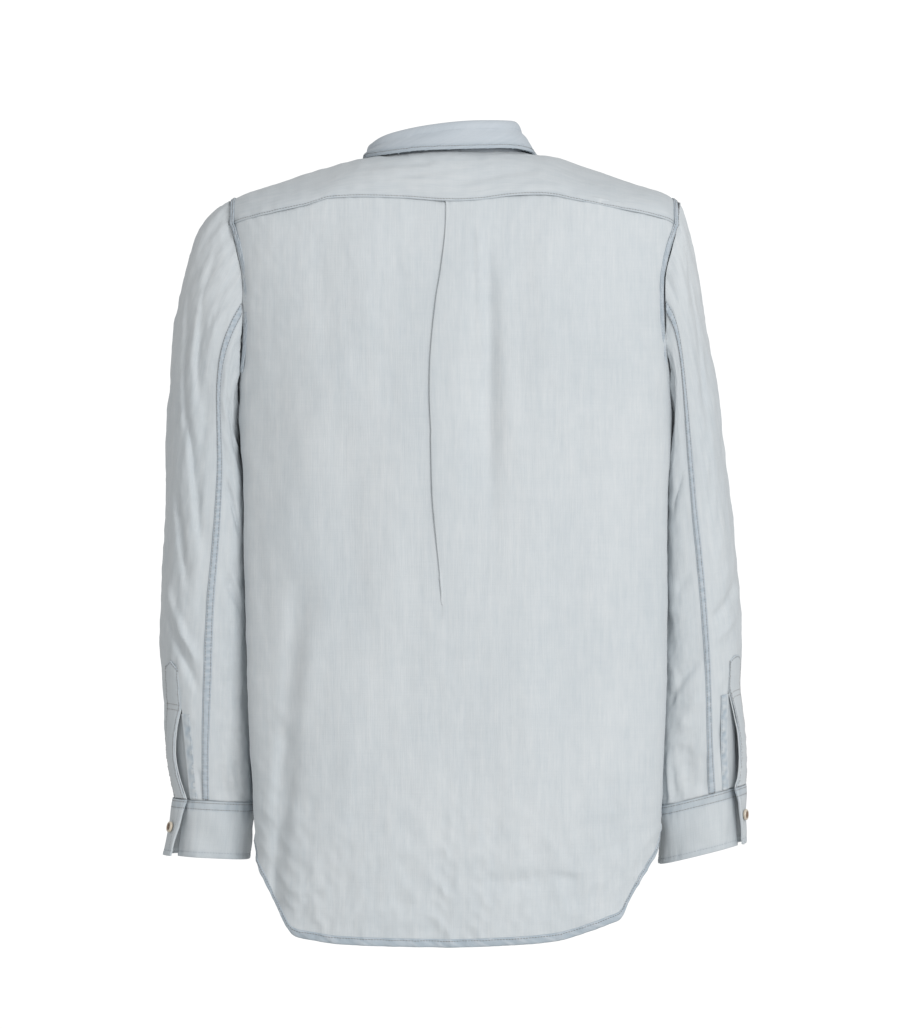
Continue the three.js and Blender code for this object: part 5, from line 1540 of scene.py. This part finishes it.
# %% The stitch tree
def stitch_tree():
    tree = bpy.data.node_groups.new("stitches", "GeometryNodeTree")
    tree.interface.new_socket("Geometry", in_out="INPUT", socket_type="NodeSocketGeometry")
    for label, value in (("Pitch", 0.003), ("Stitch Length", 0.0022), ("Thread Width", 0.0005)):
        socket = tree.interface.new_socket(label, in_out="INPUT", socket_type="NodeSocketFloat")
        socket.default_value = value
    tree.interface.new_socket("Seed", in_out="INPUT", socket_type="NodeSocketInt")
    tree.interface.new_socket("Thread", in_out="INPUT", socket_type="NodeSocketMaterial")
    tree.interface.new_socket("Geometry", in_out="OUTPUT", socket_type="NodeSocketGeometry")
    add = lambda kind: tree.nodes.new(kind)
    link = tree.links.new
    given, made = add("NodeGroupInput"), add("NodeGroupOutput")
    curve, spots = add("GeometryNodeMeshToCurve"), add("GeometryNodeCurveToPoints")
    spots.mode = "LENGTH"
    link(given.outputs["Geometry"], curve.inputs["Mesh"])
    link(curve.outputs["Curve"], spots.inputs["Curve"])
    link(given.outputs["Pitch"], spots.inputs["Length"])
    bead = add("GeometryNodeMeshUVSphere")
    bead.inputs["Segments"].default_value = 5
    bead.inputs["Rings"].default_value = 3
    bead.inputs["Radius"].default_value = 0.5
    size = add("ShaderNodeCombineXYZ")
    link(given.outputs["Thread Width"], size.inputs["X"])
    link(given.outputs["Thread Width"], size.inputs["Y"])
    link(given.outputs["Stitch Length"], size.inputs["Z"])
    slant = add("FunctionNodeRandomValue")
    slant.data_type = "FLOAT_VECTOR"
    slant.inputs["Min"].default_value = (-0.16, -0.16, 0)
    slant.inputs["Max"].default_value = (0.16, 0.16, 0)
    link(given.outputs["Seed"], slant.inputs["Seed"])
    along, turn = add("FunctionNodeAlignRotationToVector"), add("FunctionNodeRotateRotation")
    along.axis = "Z"
    link(spots.outputs["Tangent"], along.inputs["Vector"])
    turn.rotation_space = "LOCAL"
    angles = add("FunctionNodeEulerToRotation")
    link(slant.outputs["Value"], angles.inputs["Euler"])
    link(along.outputs["Rotation"], turn.inputs["Rotation"])
    link(angles.outputs["Rotation"], turn.inputs["Rotate By"])
    place, real = add("GeometryNodeInstanceOnPoints"), add("GeometryNodeRealizeInstances")
    cover = add("GeometryNodeSetMaterial")
    link(spots.outputs["Points"], place.inputs["Points"])
    link(bead.outputs["Mesh"], place.inputs["Instance"])
    link(turn.outputs["Rotation"], place.inputs["Rotation"])
    link(size.outputs["Vector"], place.inputs["Scale"])
    link(place.outputs["Instances"], real.inputs["Geometry"])
    link(real.outputs["Geometry"], cover.inputs["Geometry"])
    link(given.outputs["Thread"], cover.inputs["Material"])
    link(cover.outputs["Geometry"], made.inputs["Geometry"])
    return tree


STITCHES = stitch_tree()
print("stitch tree nodes:", len(STITCHES.nodes))


# %% [markdown]
# Cotton thread has a soft shine and its colour is a little uneven along the seam. The rows that
# show most behind are dark brown, and the others are grey-blue, faded with the cloth.

# %% Threads
def thread(name, dark, light):
    material = bpy.data.materials.new(name)
    material.use_nodes = True
    tree = material.node_tree
    shader = tree.nodes["Principled BSDF"]
    place, noise = tree.nodes.new("ShaderNodeTexCoord"), tree.nodes.new("ShaderNodeTexNoise")
    noise.inputs["Scale"].default_value = 90
    noise.inputs["Detail"].default_value = 2
    tree.links.new(place.outputs["Object"], noise.inputs["Vector"])
    tree.links.new(mixed_colour(tree, noise.outputs["Fac"], dark, light), shader.inputs["Base Color"])
    shader.inputs["Roughness"].default_value = 0.7
    shader.inputs["Sheen Weight"].default_value = 0.15
    return material


THREADS = {
    "grey": (thread("grey_thread", (0.24, 0.27, 0.29), (0.44, 0.47, 0.50)), 0.0029, 0.0021, 0.00042),
    "brown": (thread("brown_thread", (0.10, 0.085, 0.075), (0.23, 0.20, 0.175)), 0.0029, 0.0023, 0.0006),
}


def stitched(colour):
    material, pitch, length, width = THREADS[colour]
    spots, joins = [], []
    for line in thread_lines[colour]:
        first = len(spots)
        spots.extend((line * MM).tolist())
        joins.extend((i, i + 1) for i in range(first, len(spots) - 1))
    mesh = bpy.data.meshes.new(f"{colour}_lines")
    mesh.from_pydata(spots, joins, [])
    guide = bpy.data.objects.new(f"{colour}_guide", mesh)
    bpy.context.scene.collection.objects.link(guide)
    modifier = guide.modifiers.new("stitches", "NODES")
    modifier.node_group = STITCHES
    values = {"Pitch": pitch, "Stitch Length": length, "Thread Width": width, "Seed": 7, "Thread": material}
    for socket in STITCHES.interface.items_tree:
        if socket.in_out == "INPUT" and socket.name in values:
            modifier[socket.identifier] = values[socket.name]
    evaluated = guide.evaluated_get(bpy.context.evaluated_depsgraph_get())
    plain = bpy.data.meshes.new_from_object(evaluated)
    guide.modifiers.remove(modifier)
    bpy.data.objects.remove(guide)
    piece = bpy.data.objects.new(f"{colour}_stitches", plain)
    bpy.context.scene.collection.objects.link(piece)
    plain.calc_loop_triangles()
    print(f"{piece.name}: {len(thread_lines[colour])} lines, {len(plain.loop_triangles)} triangles")
    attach(piece, "root")
    return piece


for colour in THREADS:
    stitched(colour)

# %% [markdown]
# A shirt button is turned from a disc: a raised rim, a dished middle and four holes. One function
# makes it, and it is placed on the band or the cuff with its back to the cloth.

# %% The buttons
HOLE_DEPTH = 1.3
HOLE_PLACE = 1.25
HOLE_RADIUS = 0.62
FRONT_BUTTON_COUNT = 7
FRONT_BUTTON_FIRST_Z = -122
FRONT_BUTTON_PITCH = 88
BUTTON_SECTION = table(
    "r z", (0, 1.75), (2.2, 1.75), (3.0, 1.8), (3.4, 2.2), (3.9, 2.65), (4.5, 2.8), (5.1, 2.6),
    (5.45, 2.0), (5.5, 1.4),
)


def button_material():
    material = bpy.data.materials.new("horn_button")
    material.use_nodes = True
    tree = material.node_tree
    shader = tree.nodes["Principled BSDF"]
    rim = tree.nodes.new("ShaderNodeAttribute")
    rim.attribute_name = "rim"
    place, noise = tree.nodes.new("ShaderNodeTexCoord"), tree.nodes.new("ShaderNodeTexNoise")
    noise.inputs["Scale"].default_value = 260
    noise.inputs["Distortion"].default_value = 1.5
    tree.links.new(place.outputs["Object"], noise.inputs["Vector"])
    centre = mixed_colour(tree, noise.outputs["Fac"], (0.10, 0.055, 0.03), (0.26, 0.16, 0.10))
    edge = mixed_colour(tree, noise.outputs["Fac"], (0.52, 0.44, 0.34), (0.72, 0.65, 0.54))
    tree.links.new(mixed_colour(tree, rim.outputs["Fac"], centre, edge), shader.inputs["Base Color"])
    shader.inputs["Roughness"].default_value = 0.32
    shader.inputs["Coat Weight"].default_value = 0.3
    return material


def button(name, centre, normal, material):
    turn = np.linspace(0, 2 * math.pi, 37)[:-1]
    r = np.concatenate([np.linspace(0.15, 3.0, 15), np.linspace(3.0, 5.5, 12)[1:]])[:, None]
    x, y = r * np.cos(turn), r * np.sin(turn)
    z = read(BUTTON_SECTION, "r", "z", r) + 0 * turn
    for dx, dy in ((1, 1), (1, -1), (-1, 1), (-1, -1)):
        from_hole = np.hypot(x - dx * HOLE_PLACE, y - dy * HOLE_PLACE)
        z = z - HOLE_DEPTH * (1 - smooth(HOLE_RADIUS * 0.7, HOLE_RADIUS, from_hole))
    front = np.stack([x, y, z], axis=-1)
    back = np.stack([x, y, 0.35 * smooth(4.6, 5.5, r) + 0 * turn], axis=-1)[::-1]
    shell = np.concatenate([front, back])
    rows, columns = shell.shape[:2]
    index = np.arange(rows * columns).reshape(rows, columns)
    after = np.roll(index, -1, axis=1)
    quads = np.stack([index[:-1], index[1:], after[1:], after[:-1]], axis=-1).reshape(-1, 4).tolist()
    faces = quads + [index[0].tolist(), index[-1][::-1].tolist()]
    up = Vector(normal).normalized()
    frame_turn = up.to_track_quat("Z", "Y").to_matrix()
    spots = shell.reshape(-1, 3) @ np.array(frame_turn).T + centre
    mesh = bpy.data.meshes.new(name)
    mesh.from_pydata((spots * MM).tolist(), [], faces)
    mesh.polygons.foreach_set("use_smooth", np.ones(len(faces), bool))
    mark = mesh.attributes.new("rim", "FLOAT", "POINT")
    from_centre = np.hypot(*shell.reshape(-1, 3)[:, :2].T)
    mark.data.foreach_set("value", smooth(3.3, 4.0, from_centre).astype(np.float32))
    mesh.materials.append(material)
    piece = bpy.data.objects.new(name, mesh)
    bpy.context.scene.collection.objects.link(piece)
    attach(piece, "root")
    return piece


HORN = button_material()
for number in range(FRONT_BUTTON_COUNT):
    z = FRONT_BUTTON_FIRST_Z - FRONT_BUTTON_PITCH * number
    place, normal = lifted(front_surface, 0.6, z, 3.0, body_middle(z))
    piece = button(f"front_button_{number + 1}_disc", place, normal, HORN)
    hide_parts(f"front_button_{number + 1}")
for side in ("left", "right"):
    surface = lambda share, down: cuff_point(side, share / 100, down / 100)
    inside = sleeve_middle(side, LAST_RING, lap_angle(side, 0.955)) - [0, 0, 28]
    place, normal = lifted(surface, 95.5, 50.0, 0.5, inside)
    piece = button(f"cuff_button_{side}_disc", place, normal, HORN)
    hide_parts(f"cuff_button_{side}")
print("buttons:", FRONT_BUTTON_COUNT + 2)

# %% [markdown]
# The picture is taken from straight behind with a long lens, on white, in soft light that comes
# mostly from the camera's side, a little to its right. The pale floor lies below, outside the
# picture. The camera sees the white surround at full strength, while the cloth is lit by it more
# softly.

# %% The stage, the lights and the camera
def plain_material(name, colour, roughness):
    material = bpy.data.materials.new(name)
    material.use_nodes = True
    shader = material.node_tree.nodes["Principled BSDF"]
    shader.inputs["Base Color"].default_value = (*colour, 1)
    shader.inputs["Roughness"].default_value = roughness
    return material


FLOOR_Z = -1.2
FLOOR_RADIUS = 1.7
bpy.ops.mesh.primitive_circle_add(vertices=96, radius=FLOOR_RADIUS, fill_type="NGON")
floor = bpy.context.object
floor.name = "floor"
floor.data.transform(Matrix.Translation((0, 0, FLOOR_Z)))
floor.data.materials.append(plain_material("pale_floor", (0.8, 0.8, 0.79), 0.9))
floor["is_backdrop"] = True


def surround(seen, lighting):
    world = bpy.data.worlds.new("white_surround")
    world.use_nodes = True
    tree = world.node_tree
    soft = tree.nodes["Background"]
    white, both = tree.nodes.new("ShaderNodeBackground"), tree.nodes.new("ShaderNodeMixShader")
    path = tree.nodes.new("ShaderNodeLightPath")
    soft.inputs["Color"].default_value = (1, 1, 1, 1)
    soft.inputs["Strength"].default_value = lighting
    white.inputs["Color"].default_value = (1, 1, 1, 1)
    white.inputs["Strength"].default_value = seen
    tree.links.new(path.outputs["Is Camera Ray"], both.inputs["Fac"])
    tree.links.new(soft.outputs["Background"], both.inputs[1])
    tree.links.new(white.outputs["Background"], both.inputs[2])
    tree.links.new(both.outputs["Shader"], tree.nodes["World Output"].inputs["Surface"])
    bpy.context.scene.world = world


def area_light(name, place, target, size, power):
    light = bpy.data.lights.new(name, "AREA")
    light.size = size
    light.energy = power
    lamp = bpy.data.objects.new(name, light)
    lamp.location = place
    lamp.rotation_euler = (Vector(target) - Vector(place)).to_track_quat("-Z", "Y").to_euler()
    bpy.context.scene.collection.objects.link(lamp)


surround(1.05, 0.57)
area_light("key", (-2.3, 4.8, 1.3), (0, 0, -0.35), 2.5, 163)
bpy.context.scene.view_settings.view_transform = "Standard"

FRAME_WIDTH, FRAME_HEIGHT = 900, 1029
NECK_PIXEL = (450, 152)
CAMERA_DISTANCE = 7.0
SHARP_PLANE_Y = 0.04
SENSOR = 36
camera_data = bpy.data.cameras.new("camera")
camera_data.sensor_width = SENSOR
camera_data.lens = SENSOR * CAMERA_DISTANCE / (FRAME_HEIGHT * MM)
camera = bpy.data.objects.new("camera", camera_data)
camera.location = (0, SHARP_PLANE_Y + CAMERA_DISTANCE, -(FRAME_HEIGHT / 2 - NECK_PIXEL[1]) * MM)
camera.rotation_euler = (math.pi / 2, 0, math.pi)
bpy.context.scene.collection.objects.link(camera)
bpy.context.scene.camera = camera
print("lens:", round(camera_data.lens, 1), "mm")

# %% [markdown]
# Last, the box round the dressed shirt is measured and printed.

# %% The dressed shirt's size
low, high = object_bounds()
print("visual box:", [round(value, 4) for value in (*low, *high)])
